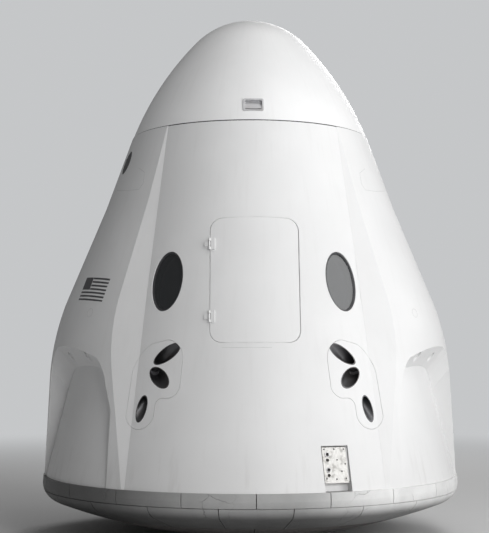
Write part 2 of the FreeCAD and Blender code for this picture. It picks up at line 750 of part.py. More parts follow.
# on the hinge axis: X along the skin towards the hatch, Y up the slope, Z outwards
HINGE_FACE = f"{HATCH_FACE} * {at(HINGE_X, '0', HINGE_Z, pitch='-' + HINGE_LEAN)}"


def hatch_prism(label, gap):
    """The hatch's bevelled outline run through the wall."""
    sketch = doc.addObject("Sketcher::SketchObject", label + "_outline")
    draw(sketch, rounded(f"hatch_half_width-({gap})", f"hatch_half_length-({gap})",
                         f"hatch_corner-({gap})"))
    bind(sketch, Placement=HATCH_FACE)
    made = primitive("Extrusion", label, LengthFwd="wall", LengthRev="3*wall",
                     TaperAngle="hatch_bevel", TaperAngleRev="-hatch_bevel")
    made.Base = sketch
    made.DirMode = "Normal"
    made.Solid = True
    return made


def hinge_cylinder(label, radius, length, along):
    """A cylinder on the hatch's hinge axis, centred so far up the slope."""
    spot = at("0", f"({along})+({length})/2", roll="90")
    return primitive("Cylinder", label, f"{HINGE_FACE} * {spot}", Radius=radius, Height=length)


def hinge_leaf(label, x_low, x_high, length, along):
    """A block on the skin beside the hinge axis, centred so far up the slope."""
    return primitive(
        "Box", label, f"{HINGE_FACE} * {at(x_low, f'({along})-({length})/2', '-2*hinge_proud')}",
        Length=f"({x_high})-({x_low})", Width=length, Height="2*hinge_proud-leaf_drop")


def make_side_hatch():
    """The bevelled plug and two low hinges: wall knuckles with pins, hatch leaves on each side."""
    shell = cut("hatch_shell", cabin_cone("hatch_skin", "0"),
                cabin_cone("hatch_inside", "wall", "0", "shell_rise+corner_drop"))
    keep(common("side_hatch", shell, hatch_prism("hatch_outline", "hatch_gap")))
    wall_pieces, hatch_pieces, bores = [], [], []
    clear = "(knuckle_radius+knuckle_gap)"
    whole = "(knuckle_length+2*knuckle_gap+2*knuckle_side)"
    for name, side in (("lower", -1), ("upper", 1)):
        middle = f"({side}*knuckle_offset)"
        wall_pieces.append(fuse(
            f"wall_hinge_{name}",
            hinge_cylinder(f"barrel_{name}", "knuckle_radius", "knuckle_length", middle),
            hinge_cylinder(f"pin_{name}", "hatch_pin", whole, middle),
            hinge_leaf(f"wall_leaf_{name}", "-leaf_width", "0", "knuckle_length", middle)))
        pieces = [hinge_leaf(f"hatch_leaf_{name}", clear, "leaf_width", whole, middle)]
        for end, sign in (("low", -1), ("high", 1)):
            spot = f"({middle}+{sign}*(knuckle_length+knuckle_side+2*knuckle_gap)/2)"
            pieces.append(hinge_cylinder(f"hatch_barrel_{name}_{end}", "knuckle_radius",
                                         "knuckle_side", spot))
            pieces.append(hinge_leaf(f"hatch_tongue_{name}_{end}", "0", f"{clear}+knuckle_gap",
                                     "knuckle_side", spot))
        hatch_pieces.append(fuse(f"hatch_hinge_{name}", *pieces))
        bores.append(hinge_cylinder(f"pin_bore_{name}", "hatch_pin+pin_play", f"2*{whole}", middle))
    skin = cabin_cone("hinge_skin", "-seat_gap")
    keep(cut("side_hatch_hinge", gather("wall_hinges", *wall_pieces), skin))
    keep(cut("side_hatch_leaves", gather("hatch_hinges", *hatch_pieces),
             fuse("leaf_tools", cabin_cone("leaf_skin", "-seat_gap"), *bores)))


# rises of the connector sockets
SOCKETS = ("306", "261", "182", "138")


def make_umbilical_bay():
    """The recessed bay above the rim with its connector plate; the bay's tool is returned."""
    place = radial_at("bay_azimuth", cone_at("0"), "0")
    bay = padded("bay_tool", (
        ("-bay_half_width", "-corner_drop"),
        ("bay_half_width", "-corner_drop"),
        ("bay_half_width", "(bay_rise-tile_gap)", "tile_gap", 1),
        ("(bay_half_width-tile_gap)", "bay_rise"),
        ("-(bay_half_width-tile_gap)", "bay_rise", "tile_gap", 1),
        ("-bay_half_width", "(bay_rise-tile_gap)"),
    ), "4*wall", place, both_ways=True)
    tool = cut("bay_pocket", bay, cabin_cone("bay_floor", "bay_depth", "-corner_drop"))
    plate = padded("bay_plate", rectangle(
        "-(bay_half_width-bay_plate_drop)", "(bay_half_width-bay_plate_drop)",
        "bay_plate_foot", "(bay_rise-bay_plate_drop)"), "4*wall", place, both_ways=True)
    layer = cut("bay_layer", cabin_cone("bay_plate_skin", "bay_depth-bay_plate_depth"),
                cabin_cone("bay_plate_seat", "bay_depth-seat_gap", "0", "shell_rise+corner_drop"))
    azimuth = f"(bay_azimuth-180/pi*socket_offset/{cone_at('bay_rise/2')})"
    sockets = []
    for index, rise in enumerate(SOCKETS, start=1):
        sockets.append(primitive(
            "Cylinder", f"socket_{index}", f"{face_at(azimuth, rise)} * {at(z='-wall')}",
            Radius="socket_radius", Height="2*wall"))
    keep(cut("umbilical_plate", common("bay_plate_blank", plate, layer),
             fuse("sockets", *sockets)))
    return tool


def make_cabin_wall(opening, pocket, bay):
    """The conical wall in a front and a rear half, with every opening cut."""
    shell = cut("wall_shell", cabin_cone("wall_skin", "0"),
                cabin_cone("wall_inside", "wall", "-corner_drop", "shell_rise+corner_drop"))
    half = rectangle(f"-{REACH}", REACH, f"-{REACH}", "0")
    front = common("wall_front_blank", shell, padded("front_half", half, REACH))
    rear = common("wall_rear_blank", shell, padded("rear_half", half, REACH, at(yaw="180")))
    pocket_left = mirrored("pocket_left", pocket, (1, 0, 0))
    opening_left = mirrored("opening_left", opening, (1, 0, 0))
    keep(cut("cabin_wall_front", front, fuse(
        "front_openings", pocket, pocket_left, opening, opening_left,
        hatch_prism("hatch_opening", "0"), bay)))
    rear_pockets = [mirrored("pocket_rear_right", pocket, (0, 1, 0)),
                    mirrored("pocket_rear_left", pocket_left, (0, 1, 0))]
    keep(cut("cabin_wall_rear", rear, fuse("rear_openings", *rear_pockets)))


# ---------------------------------------------------------------- nose cone

def nose_outline(inset, foot):
    """Half of the nose's section, from the foot up its side and over the tip to the axis."""
    centre = f"({SEAM}+nose_rise-cap_radius)"
    cap = f"(cap_radius-({inset}))"
    return (
        (f"(seam_radius-({inset})*1.06)", foot, f"(ogive_radius-({inset}))", 1),
        (f"({cap}*sin(cap_angle))", f"({centre}+{cap}*cos(cap_angle))", cap, 1),
        ("0", f"({centre}+{cap})"),
    )


NOSE_HINGE_Y = "(seam_radius+nose_hinge_reach)"


def hinge_plate(label, points, side, offset):
    """A plate across X, drawn in the YZ plane, so far to one side."""
    place = at(f"{side}*({offset})-lug_width/2", "0", "0", "90", "0", "90")
    return padded(label, points, "lug_width", place)


def make_nose():
    """The hollow nose cone on its rear hinge, and the handling fitting above the seam."""
    foot = f"({SEAM}+seam_gap)"
    solid = revolved("nose_solid", (("0", foot), *nose_outline("0", foot)))
    hollow = revolved("nose_hollow", (("0", f"({SEAM}-wall)"),
                                      (f"(seam_radius-nose_wall*1.06)", f"({SEAM}-wall)"),
                                      *nose_outline("nose_wall", foot)))
    shell = cut("nose_shell", solid, hollow)
    spot = radial_at("0", "seam_radius", "shell_rise+fitting_rise", roll="90-fitting_lean")

    def block(label, edge, low, length):
        return padded(label, rounded(
            f"fitting_half_width-{edge}", f"fitting_half_height-{edge}", "fitting_half_height/4"),
            length, f"{spot} * {at(z=f'-(nose_wall+fitting_depth)+{low}')}")

    keep(cut("nose_cone", shell, block("fitting_recess", "0", "0", "2*fitting_depth")))
    tray = cut("fitting_tray", block("fitting_block", "seat_gap", "seat_gap", "fitting_depth"),
               block("fitting_pocket", "fitting_edge", "fitting_floor", "2*fitting_depth"))
    bar = primitive(
        "Box", "fitting_bar_whole",
        f"{spot} * {at('-(fitting_half_width-fitting_edge/2)', '-1.5*fitting_bar', f'-(nose_wall+fitting_depth)+fitting_floor/2')}",
        Length="2*fitting_half_width-fitting_edge", Width="fitting_bar",
        Height="fitting_depth-2*fitting_floor")
    keep(fuse("nose_fitting", tray, bar))


def make_nose_hinge():
    """Bracket lugs with the pin on the cabin wall, and two arms with knuckles on the nose."""
    z = f"({SEAM}+seam_gap/2)"
    low, high = f"({SEAM}-200)", f"({SEAM}+240)"
    inner = "(seam_radius-80)"
    round_low = (f"({NOSE_HINGE_Y}+nose_knuckle)", z)
    lugs, arms = [], []
    skin = cabin_cone("lug_skin", "-seat_gap")
    nose_skin = revolved("arm_skin", (("0", f"({SEAM}+seam_gap)"),
                                      *nose_outline("-seat_gap", f"({SEAM}+seam_gap)")))
    for name, side in (("left", -1), ("right", 1)):
        lug = hinge_plate(f"lug_{name}", (
            (inner, low),
            (f"({NOSE_HINGE_Y})", low),
            round_low,
            (f"({NOSE_HINGE_Y}-nose_knuckle)", z),
            (inner, f"({SEAM}-seam_gap)"),
        ), side, "lug_offset")
        barrel = primitive("Cylinder", f"lug_barrel_{name}",
                           at(f"{side}*lug_offset-lug_width/2", NOSE_HINGE_Y, z, "90", "0", "90"),
                           Radius="nose_knuckle", Height="lug_width")
        lugs.append(cut(f"lug_{name}_seated", fuse(f"lug_{name}_whole", lug, barrel), skin))
        out = "(lug_offset+lug_width+seam_gap)"
        arm = hinge_plate(f"arm_{name}_plate", (
            (f"({NOSE_HINGE_Y}-nose_knuckle)", z),
            round_low,
            (f"({NOSE_HINGE_Y}-20)", high),
            (inner, high),
            (inner, f"({SEAM}+2*seam_gap)"),
        ), side, out)
        knuckle = primitive("Cylinder", f"arm_barrel_{name}",
                            at(f"{side}*{out}-lug_width/2", NOSE_HINGE_Y, z, "90", "0", "90"),
                            Radius="nose_knuckle", Height="lug_width")
        arms.append(cut(f"arm_{name}_seated", fuse(f"arm_{name}_whole", arm, knuckle), nose_skin))
    reach = "(lug_offset+2*lug_width+seam_gap)"
    pin = primitive("Cylinder", "nose_pin_rod", at(f"-{reach}", NOSE_HINGE_Y, z, "90", "0", "90"),
                    Radius="nose_pin", Height=f"2*{reach}")
    bore = primitive("Cylinder", "nose_pin_bore",
                     at(f"-{reach}-10", NOSE_HINGE_Y, z, "90", "0", "90"),
                     Radius="nose_pin+pin_play", Height=f"2*{reach}+20")
    keep(fuse("nose_hinge_bracket", *lugs, pin))
    keep(cut("nose_hinge_arms", gather("arms_whole", *arms), bore))


# ---------------------------------------------------------------- forward end

BULKHEAD = "(rim_rise+shell_rise-bulkhead_drop)"
DECK = f"({BULKHEAD}+bulkhead_depth)"


def make_forward_end():
    """Bulkhead, docking adapter, capture ring with petals, four thrusters and the inner hatch."""
    low = "(shell_rise-bulkhead_drop)"
    plate = cabin_cone("bulkhead_plate", "wall+seat_gap", low, f"{low}+bulkhead_depth")
    bore = primitive("Cylinder", "tunnel_bore", at(z=f"{BULKHEAD}-wall"), Radius="tunnel_radius",
                     Height="3*wall")
    keep(cut("forward_bulkhead", plate, bore))
    top = f"({DECK}+dock_height)"
    keep(revolved("docking_adapter", (
        ("tunnel_radius", DECK),
        ("dock_flange_radius", DECK),
        ("dock_flange_radius", f"({DECK}+dock_flange_depth)"),
        ("dock_tube_radius", f"({DECK}+dock_flange_depth)"),
        ("dock_tube_radius", f"({top}-dock_flange_depth)"),
        ("dock_flange_radius", f"({top}-dock_flange_depth)"),
        ("dock_flange_radius", top),
        ("tunnel_radius", top),
    )))
    inner = "(dock_flange_radius-capture_width)"
    ring = revolved("capture_ring", (
        (inner, top),
        ("dock_flange_radius", top),
        ("dock_flange_radius", f"({top}+capture_depth)"),
        (inner, f"({top}+capture_depth)"),
    ))
    petals = []
    for index in range(3):
        turn = f"{120 * index}+60"
        spot = (f"placement(vector(0; 0; {top}+capture_depth-petal_depth/2); rotation({turn}; 0; 0))"
                f" * {at(y=f'-({inner}+petal_depth)', roll='90+petal_lean')}")
        petals.append(padded(f"petal_{index + 1}", (
            ("-petal_half_width", "0"),
            ("petal_half_width", "0"),
            ("petal_half_width/3", "petal_height"),
            ("-petal_half_width/3", "petal_height"),
        ), "petal_depth", spot))
    keep(fuse("docking_capture_ring", ring, *petals))
    nozzles = []
    for index in range(4):
        turn = f"{90 * index}+45"
        spot = at(f"forward_nozzle_circle*sin({turn})", f"-forward_nozzle_circle*cos({turn})", DECK)
        outside = primitive("Cone", f"forward_nozzle_{index + 1}_outside", spot,
                            Radius1="forward_nozzle_throat+port_wall",
                            Radius2="forward_nozzle_radius", Height="forward_nozzle_height")
        inside = primitive("Cone", f"forward_nozzle_{index + 1}_inside",
                           f"{spot} * {at(z='2*port_wall')}",
                           Radius1="forward_nozzle_throat",
                           Radius2="forward_nozzle_radius-port_wall",
                           Height="forward_nozzle_height-2*port_wall")
        nozzles.append(cut(f"forward_nozzle_{index + 1}", outside, inside))
    keep(gather("forward_thrusters", *nozzles))


LID_Y = "(tunnel_radius+hatch_lap+lid_reach)"
LID_Z = f"({BULKHEAD}-lid_gap-lid_depth/2)"


def make_forward_hatch():
    """The pressure hatch under the bulkhead, hinged at the rear to swing down into the cabin."""
    def across(label, radius, half, centre="0"):
        return primitive("Cylinder", label, at(f"({centre})-({half})", LID_Y, LID_Z, "90", "0", "90"),
                         Radius=radius, Height=f"2*({half})")

    barrel = "(lid_depth/2)"
    disc = primitive("Cylinder", "lid_disc", at(z=f"{LID_Z}-lid_depth/2"),
                     Radius="tunnel_radius+hatch_lap", Height="lid_depth")
    strap = primitive("Box", "lid_strap", at("-lug_offset", "tunnel_radius/2", f"{LID_Z}-lid_depth/2"),
                      Length="2*lug_offset", Width=f"{LID_Y}-tunnel_radius/2", Height="lid_depth")
    lid = fuse("lid_whole", disc, strap, across("lid_barrel", barrel, "lug_offset"))
    keep(cut("forward_hatch", lid, across("lid_bore", "lid_pin+pin_play", "2*lug_offset")))
    pieces = [across("lid_pin_rod", "lid_pin", "lug_offset+lug_width+lid_gap")]
    for name, side in (("left", -1), ("right", 1)):
        centre = f"{side}*(lug_offset+lid_gap+lug_width/2)"
        pieces.append(across(f"lid_lug_{name}", barrel, "lug_width/2", centre))
        pieces.append(primitive(
            "Box", f"lid_post_{name}", at(f"({centre})-lug_width/2", f"{LID_Y}-{barrel}", LID_Z),
            Length="lug_width", Width="lid_depth", Height=f"{BULKHEAD}-{LID_Z}"))
    keep(fuse("forward_hatch_hinge", *pieces))


# ---------------------------------------------------------------- cabin inside

FLOOR = "(rim_rise+floor_rise+floor_depth)"


def make_cabin():
    """Floor, the equipment block below it, four couches on their frame and the display console."""
    keep(cabin_cone("cabin_floor", "wall+seat_gap", "floor_rise", "floor_rise+floor_depth"))
    keep(primitive("Cylinder", "service_equipment", at(z="rim_rise"), Radius="tank_radius",
                   Height="floor_rise"))
    low = f"({FLOOR}+seat_rise)"
    first = "(-(seat_count-1)/2*seat_pitch-seat_width/2)"
    couch = (
        ("back_end", f"({low}+back_end_lift)"),
        ("back_end", f"({low}+back_end_lift+seat_depth)"),
        ("-(hip_fold-seat_depth/3)", f"({low}+seat_depth)"),
        ("-knee", f"({low}+knee_lift+1.2*seat_depth)"),
        ("-feet_end", f"({low}+feet_end_lift+1.2*seat_depth)"),
        ("-feet_end", f"({low}+feet_end_lift)"),
        ("-knee", f"({low}+knee_lift)"),
        ("-hip_fold", low),
    )
    seats = []
    for index in range(int(number("seat_count"))):
        place = at(f"{first}+{index}*seat_pitch", "0", "0", "90", "0", "90")
        seats.append(padded(f"seat_{index + 1}", couch, "seat_width", place))
    keep(gather("seats", *seats))
    span = "(seat_count*seat_pitch)"
    rise = "(back_end_lift/(back_end+hip_fold))"
    pieces = []
    for name, y in (("rear", "back_rail"), ("hip", "0")):
        z = f"({low}+(({y})+hip_fold)*{rise}-(rail_radius+seat_gap)*sqrt(1+{rise}^2))"
        pieces.append(primitive("Cylinder", f"rail_{name}", at(f"-{span}/2", y, z, "90", "0", "90"),
                                Radius="rail_radius", Height=span))
        for side in (-1, 1):
            leg = f"leg_{name}_{'left' if side < 0 else 'right'}"
            pieces.append(primitive("Cylinder", leg, at(f"{side}*{span}/3", y, FLOOR),
                                    Radius="leg_radius", Height=f"{z}-{FLOOR}"))
    keep(fuse("seat_frame", *pieces))
    foot = f"({FLOOR}+console_rise)"
    slab = padded("console_slab", rounded("console_width/2", "console_height/2", "console_depth/2"),
                  "console_depth", at("0", "-console_y", f"{foot}+console_height/2", "0", "0", "70"))
    posts = []
    for name, side in (("left", -1), ("right", 1)):
        posts.append(primitive("Cylinder", f"console_post_{name}",
                               at(f"{side}*seat_pitch", "-console_y", FLOOR),
                               Radius="leg_radius", Height="console_rise+console_height/3"))
    keep(fuse("display_console", slab, *posts))


# ---------------------------------------------------------------- assembly

def check_built():
    """Stop if any object failed or any sub-part is not a sound shape."""
    for item in doc.Objects:
        if set(item.State) & {"Invalid", "Error"}:
            raise RuntimeError(f"{item.Label} failed: {item.State}")
    for label, made in parts.items():
        shape = made.Shape
        if shape.isNull() or not shape.Solids or not shape.isValid():
            raise RuntimeError(f"{label} is not a sound shape")


def main():
    make_heat_shield()
    pod = make_pod_blank()
    panel_hole, pocket = make_thrusters(pod)
    make_engine_pods(pod, panel_hole, make_side_port())
    opening = make_windows()
    make_side_hatch()
    bay = make_umbilical_bay()
    make_cabin_wall(opening, pocket, bay)
    make_nose()
    make_nose_hinge()
    make_forward_end()
    make_forward_hatch()
    make_cabin()
    doc.recompute()
    check_built()
    os.makedirs("parts", exist_ok=True)
    for label, made in sorted(parts.items()):
        made.Shape.exportStep(f"parts/{label}.step")
        print(f"{label}: {len(made.Shape.Solids)} solids, {made.Shape.Volume / 1e6:.1f} litres")


main()
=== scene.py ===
"""Looks of a crew space capsule, built round its fixed frame.

Everything is in metres. +Z is up along the capsule's axis, and the side hatch faces -Y. An azimuth
is in degrees round from the hatch side towards +X. The frame's nodes keep their shapes and get their
finishes here, and small trim is added to them.
"""

import json
import logging
import math
from collections.abc import Iterator, Sequence
from contextlib import contextmanager
from dataclasses import dataclass, field
from enum import Enum
from functools import cache
from typing import Any

import bmesh  # noqa: E402
import bpy  # noqa: E402
from mathutils import Matrix, Vector  # noqa: E402


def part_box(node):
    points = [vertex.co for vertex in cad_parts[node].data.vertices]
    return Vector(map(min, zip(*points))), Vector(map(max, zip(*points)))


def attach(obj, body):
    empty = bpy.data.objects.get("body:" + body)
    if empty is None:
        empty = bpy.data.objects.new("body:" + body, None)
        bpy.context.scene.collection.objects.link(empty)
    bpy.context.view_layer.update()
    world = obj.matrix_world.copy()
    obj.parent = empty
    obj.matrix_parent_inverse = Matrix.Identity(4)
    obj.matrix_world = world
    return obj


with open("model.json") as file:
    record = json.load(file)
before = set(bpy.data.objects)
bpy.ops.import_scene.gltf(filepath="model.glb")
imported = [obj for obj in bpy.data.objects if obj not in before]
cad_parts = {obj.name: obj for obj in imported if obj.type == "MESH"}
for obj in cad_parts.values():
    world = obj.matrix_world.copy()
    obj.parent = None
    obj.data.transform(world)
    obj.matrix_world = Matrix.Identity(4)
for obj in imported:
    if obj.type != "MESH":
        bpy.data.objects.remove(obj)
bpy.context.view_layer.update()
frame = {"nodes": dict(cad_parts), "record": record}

log = logging.getLogger("capsule")

Pair = tuple[float, float]
Triple = tuple[float, float, float]
Colour = Triple

UP = Vector((0.0, 0.0, 1.0))
# how nearly a face's normal has to keep to a way for the face to look that way
FACING = 0.9
# how far outside a face a ray that looks for it starts
REACH = 0.3


# ------------------------------------------------------------------ names that are chosen among

class Quadrant(Enum):
    """The four quarters of the cabin that carry an engine pod each: X sign and Y sign."""

    FRONT_RIGHT = (1, -1)
    FRONT_LEFT = (-1, -1)
    REAR_RIGHT = (1, 1)
    REAR_LEFT = (-1, 1)

    @property
    def suffix(self) -> str:
        """The quarter's part of a node's name."""
        return self.name.lower()

    def mirror(self, azimuth: float) -> float:
        """Mirror an azimuth of the front left quarter into this one.

        Args:
            azimuth: from -90 to 0 degrees.

        Returns:
            The azimuth in this quarter.
        """
        side, back = self.value
        size = abs(azimuth)
        return side * (size if back < 0 else 180.0 - size)


class Side(Enum):
    """The two sides of the hatch."""

    RIGHT = 1
    LEFT = -1


class Body(Enum):
    """The bodies that pieces ride on."""

    CAPSULE = "capsule"
    NOSE = "nose"
    HATCH = "hatch"
    INNER_HATCH = "inner_hatch"


# ------------------------------------------------------------------ shader arithmetic

class Value:
    """One output socket of a material, used in ordinary arithmetic."""

    def __init__(self, graph: "Graph", socket: bpy.types.NodeSocket) -> None:
        """Wrap a socket of a graph.

        Args:
            graph: the material's graph.
            socket: the output socket that holds the value.
        """
        self.graph = graph
        self.socket = socket

    def _math(self, operation: str, *operands: "Value | float") -> "Value":
        """A Math node on these operands."""
        return self.graph.node("ShaderNodeMath", {"operation": operation}, dict(enumerate(operands)))

    def __add__(self, other: "Value | float") -> "Value":
        """Sum."""
        return self._math("ADD", self, other)

    def __radd__(self, other: float) -> "Value":
        """Sum, with a plain number first."""
        return self._math("ADD", other, self)

    def __sub__(self, other: "Value | float") -> "Value":
        """Difference."""
        return self._math("SUBTRACT", self, other)

    def __rsub__(self, other: float) -> "Value":
        """Difference, with a plain number first."""
        return self._math("SUBTRACT", other, self)

    def __mul__(self, other: "Value | float") -> "Value":
        """Product."""
        return self._math("MULTIPLY", self, other)

    def __rmul__(self, other: float) -> "Value":
        """Product, with a plain number first."""
        return self._math("MULTIPLY", other, self)

    def floor(self) -> "Value":
        """Whole part."""
        return self._math("FLOOR", self)

    def sine(self) -> "Value":
        """Sine of an angle in radians."""
        return self._math("SINE", self)

    def angle(self, other: "Value") -> "Value":
        """Angle in radians of the point whose second coordinate this is, and whose first is the other."""
        return self._math("ARCTAN2", self, other)

    def ease(self, low: float, high: float) -> "Value":
        """A smooth step from nought to one.

        Args:
            low: where it starts; it may be the larger.
            high: where it ends.

        Returns:
            The step's value.
        """
        settings = {"interpolation_type": "SMOOTHSTEP", "clamp": True}
        ends = {"Value": self, "From Min": low, "From Max": high, "To Min": 0.0, "To Max": 1.0}
        return self.graph.node("ShaderNodeMapRange", settings, ends)


class Graph:
    """The node tree of one material or of the world."""

    def __init__(self, tree: bpy.types.NodeTree) -> None:
        """Start from an empty tree.

        Args:
            tree: the material's tree.
        """
        tree.nodes.clear()
        self.tree = tree

    def node(
        self, kind: str, settings: dict[str, Any] | None = None,
        inputs: dict[str | int, Any] | None = None, output: str | int = 0,
    ) -> Value:
        """Add a node.

        Args:
            kind: the node's type.
            settings: the node's own options.
            inputs: values or linked outputs by socket name or number.
            output: the socket that is returned.

        Returns:
            The chosen output.
        """
        made = self.tree.nodes.new(kind)
        for name, value in (settings or {}).items():
            setattr(made, name, value)
        for name, value in (inputs or {}).items():
            socket = made.inputs[name]
            if isinstance(value, Value):
                self.tree.links.new(value.socket, socket)
            elif socket.type == "RGBA":
                socket.default_value = (*value, 1.0)
            else:
                socket.default_value = value
        return Value(self, made.outputs[output])

    def place(self) -> Value:
        """A point's place in the capsule's own frame."""
        return self.node("ShaderNodeTexCoord", output="Object")

    def split(self, point: Value) -> tuple[Value, Value, Value]:
        """Take a point's coordinates apart.

        Args:
            point: the point.

        Returns:
            Its X, Y and Z.
        """
        parts = self.node("ShaderNodeSeparateXYZ", inputs={0: point})
        outputs = parts.socket.node.outputs
        return tuple(Value(self, outputs[index]) for index in range(3))

    def join(self, *numbers: Value | float) -> Value:
        """A point from its three coordinates."""
        return self.node("ShaderNodeCombineXYZ", inputs=dict(enumerate(numbers)))

    def vector(self, operation: str, first: Value, second: Value | Triple) -> Value:
        """A Vector Math node on two points."""
        return self.node("ShaderNodeVectorMath", {"operation": operation}, {0: first, 1: second})

    def scale(self, colour: Value, by: Value | float) -> Value:
        """A colour or a point with all its parts multiplied."""
        return self.node("ShaderNodeVectorMath", {"operation": "SCALE"}, {0: colour, "Scale": by})

    def noise(self, scale: float, point: Value, detail: float, output: str | int = 0) -> Value:
        """Soft random cloud from nought to one.

        Args:
            scale: features in each metre.
            point: where to read it.
            detail: octaves of finer cloud.
            output: its grey value, or "Color" for three clouds at once.

        Returns:
            The cloud's value.
        """
        inputs = {"Vector": point, "Scale": scale, "Detail": detail}
        return self.node("ShaderNodeTexNoise", inputs=inputs, output=output)

    def cells(self, scale: float, feature: str, point: Value) -> Value:
        """A distance in a pattern of random cells.

        Args:
            scale: cells in each metre.
            feature: which distance it is, as the node names it.
            point: where to read it.

        Returns:
            The distance.
        """
        inputs = {"Vector": point, "Scale": scale}
        return self.node("ShaderNodeTexVoronoi", {"feature": feature}, inputs, "Distance")

    def random(self, number: Value) -> Value:
        """A random number that stays the same for one input."""
        return self.node("ShaderNodeTexWhiteNoise", {"noise_dimensions": "1D"}, {"W": number})

    def blend(self, share: Value | float, first: Any, second: Any) -> Value:
        """A colour between two.

        Args:
            share: nought for the first, one for the second.
            first: a colour or colour output.
            second: a colour or colour output.

        Returns:
            The mixed colour.
        """
        mix = self.node("ShaderNodeMix", {"data_type": "RGBA"}, {0: share, 6: first, 7: second})
        return Value(self, mix.socket.node.outputs[2])

    def relief(
        self, height: Value, depth: float, under: Value | None = None, strength: float = 1.0,
    ) -> Value:
        """A normal bent by a height.

        Args:
            height: nought to one.
            depth: what one stands for, in metres.
            under: another relief below this one.
            strength: how much of the bend is kept.

        Returns:
            The bent normal.
        """
        inputs = {"Height": height, "Strength": strength, "Distance": depth}
        if under:
            inputs["Normal"] = under
        return self.node("ShaderNodeBump", inputs=inputs)

    def close(self, shader: Value, kind: str = "ShaderNodeOutputMaterial") -> None:
        """Link a shader to the tree's output.

        Args:
            shader: the shader.
            kind: the output node's type.
        """
        end = self.tree.nodes.new(kind)
        self.tree.links.new(shader.socket, end.inputs["Surface"])


# ------------------------------------------------------------------ finishes

def shade(colour: Colour, share: float) -> Colour:
    """A colour made darker or lighter by a share."""
    return tuple(min(1.0, channel * share) for channel in colour)


@dataclass(frozen=True)
class Finish:
    """A surface finish that paints one material.

    In the finishes a scale is in features a metre, a share is of one, a depth is in metres, and the
    two ends of an ease are where it starts and where it is full.
    """

    name: str
    colour: Colour

    @cache
    def material(self) -> bpy.types.Material:
        """Make the finish's material, once.

        Returns:
            The material.
        """
        made = bpy.data.materials.new(self.name)
        made.use_nodes = True
        graph = Graph(made.node_tree)
        graph.close(graph.node("ShaderNodeBsdfPrincipled", inputs=self.channels(graph)))
        return made

    def channels(self, graph: Graph) -> dict[str, Any]:
        """Work out the surface shader's sockets.

        Args:
            graph: the material's graph.

        Returns:
            Values and links by socket name.
        """
        raise NotImplementedError

    def tones(self, graph: Graph, share: Value, darker: float, lighter: float) -> Value:
        """The finish's colour, drifting from a darker to a lighter tone."""
        return graph.blend(share, shade(self.colour, darker), shade(self.colour, lighter))


@dataclass(frozen=True)
class Paint(Finish):
    """Satin paint over a sprayed thermal coat, with soft mottling and weather streaks."""

    roughness: float = 0.42
    cloud_roughness: float = 0.12
    fine_roughness: float = 0.07
    fine_scale: float = 38.0
    mottle: float = 0.05
    mottle_scale: float = 1.4
    mottle_ends: Pair = (0.3, 0.75)
    soot: Colour = (0.42, 0.40, 0.38)
    soot_share: float = 0.2
    soot_even: float = 0.35
    # heights at which the soot starts and is full
    soot_ends: Pair = (1.05, 0.58)
    streak_scale: float = 4.0
    streak_ends: Pair = (0.52, 0.75)
    streak_share: float = 0.05
    # how far the streaks' cloud is read on for each radian round, and for each metre up
    streak_around: float = 7.0
    streak_up: float = 0.5
    peel: float = 0.00096
    peel_scale: float = 420.0
    peel_strength: float = 0.35
    wave: float = 0.0012
    wave_scale: float = 2.6
    coat: float = 0.12
    coat_roughness: float = 0.3

    def channels(self, graph: Graph) -> dict[str, Any]:
        """Work out the surface shader's sockets.

        Args:
            graph: the material's graph.

        Returns:
            Values and links by socket name.
        """
        point = graph.place()
        x, y, z = graph.split(point)
        cloud = graph.noise(self.mottle_scale, point, detail=4.0)
        fine = graph.noise(self.fine_scale, point, detail=3.0)
        around = graph.join(x.angle(y) * self.streak_around, z * self.streak_up, 0.0)
        streaks = graph.noise(self.streak_scale, around, detail=5.0).ease(*self.streak_ends)
        dust = z.ease(*self.soot_ends) * (self.soot_even + (1 - self.soot_even) * streaks) * self.soot_share
        clean = self.tones(graph, cloud.ease(*self.mottle_ends), 1 - self.mottle, 1.0)
        aged = graph.blend(streaks * self.streak_share, clean, self.soot)
        peel = graph.noise(self.peel_scale, point, detail=2.0)
        skin = graph.relief(peel, self.peel, strength=self.peel_strength)
        return {
            "Base Color": graph.blend(dust, aged, self.soot),
            "Roughness": self.roughness + self.cloud_roughness * cloud + self.fine_roughness * fine,
            "Coat Weight": self.coat,
            "Coat Roughness": self.coat_roughness,
            "Normal": graph.relief(graph.noise(self.wave_scale, point, detail=1.0), self.wave, skin),
        }


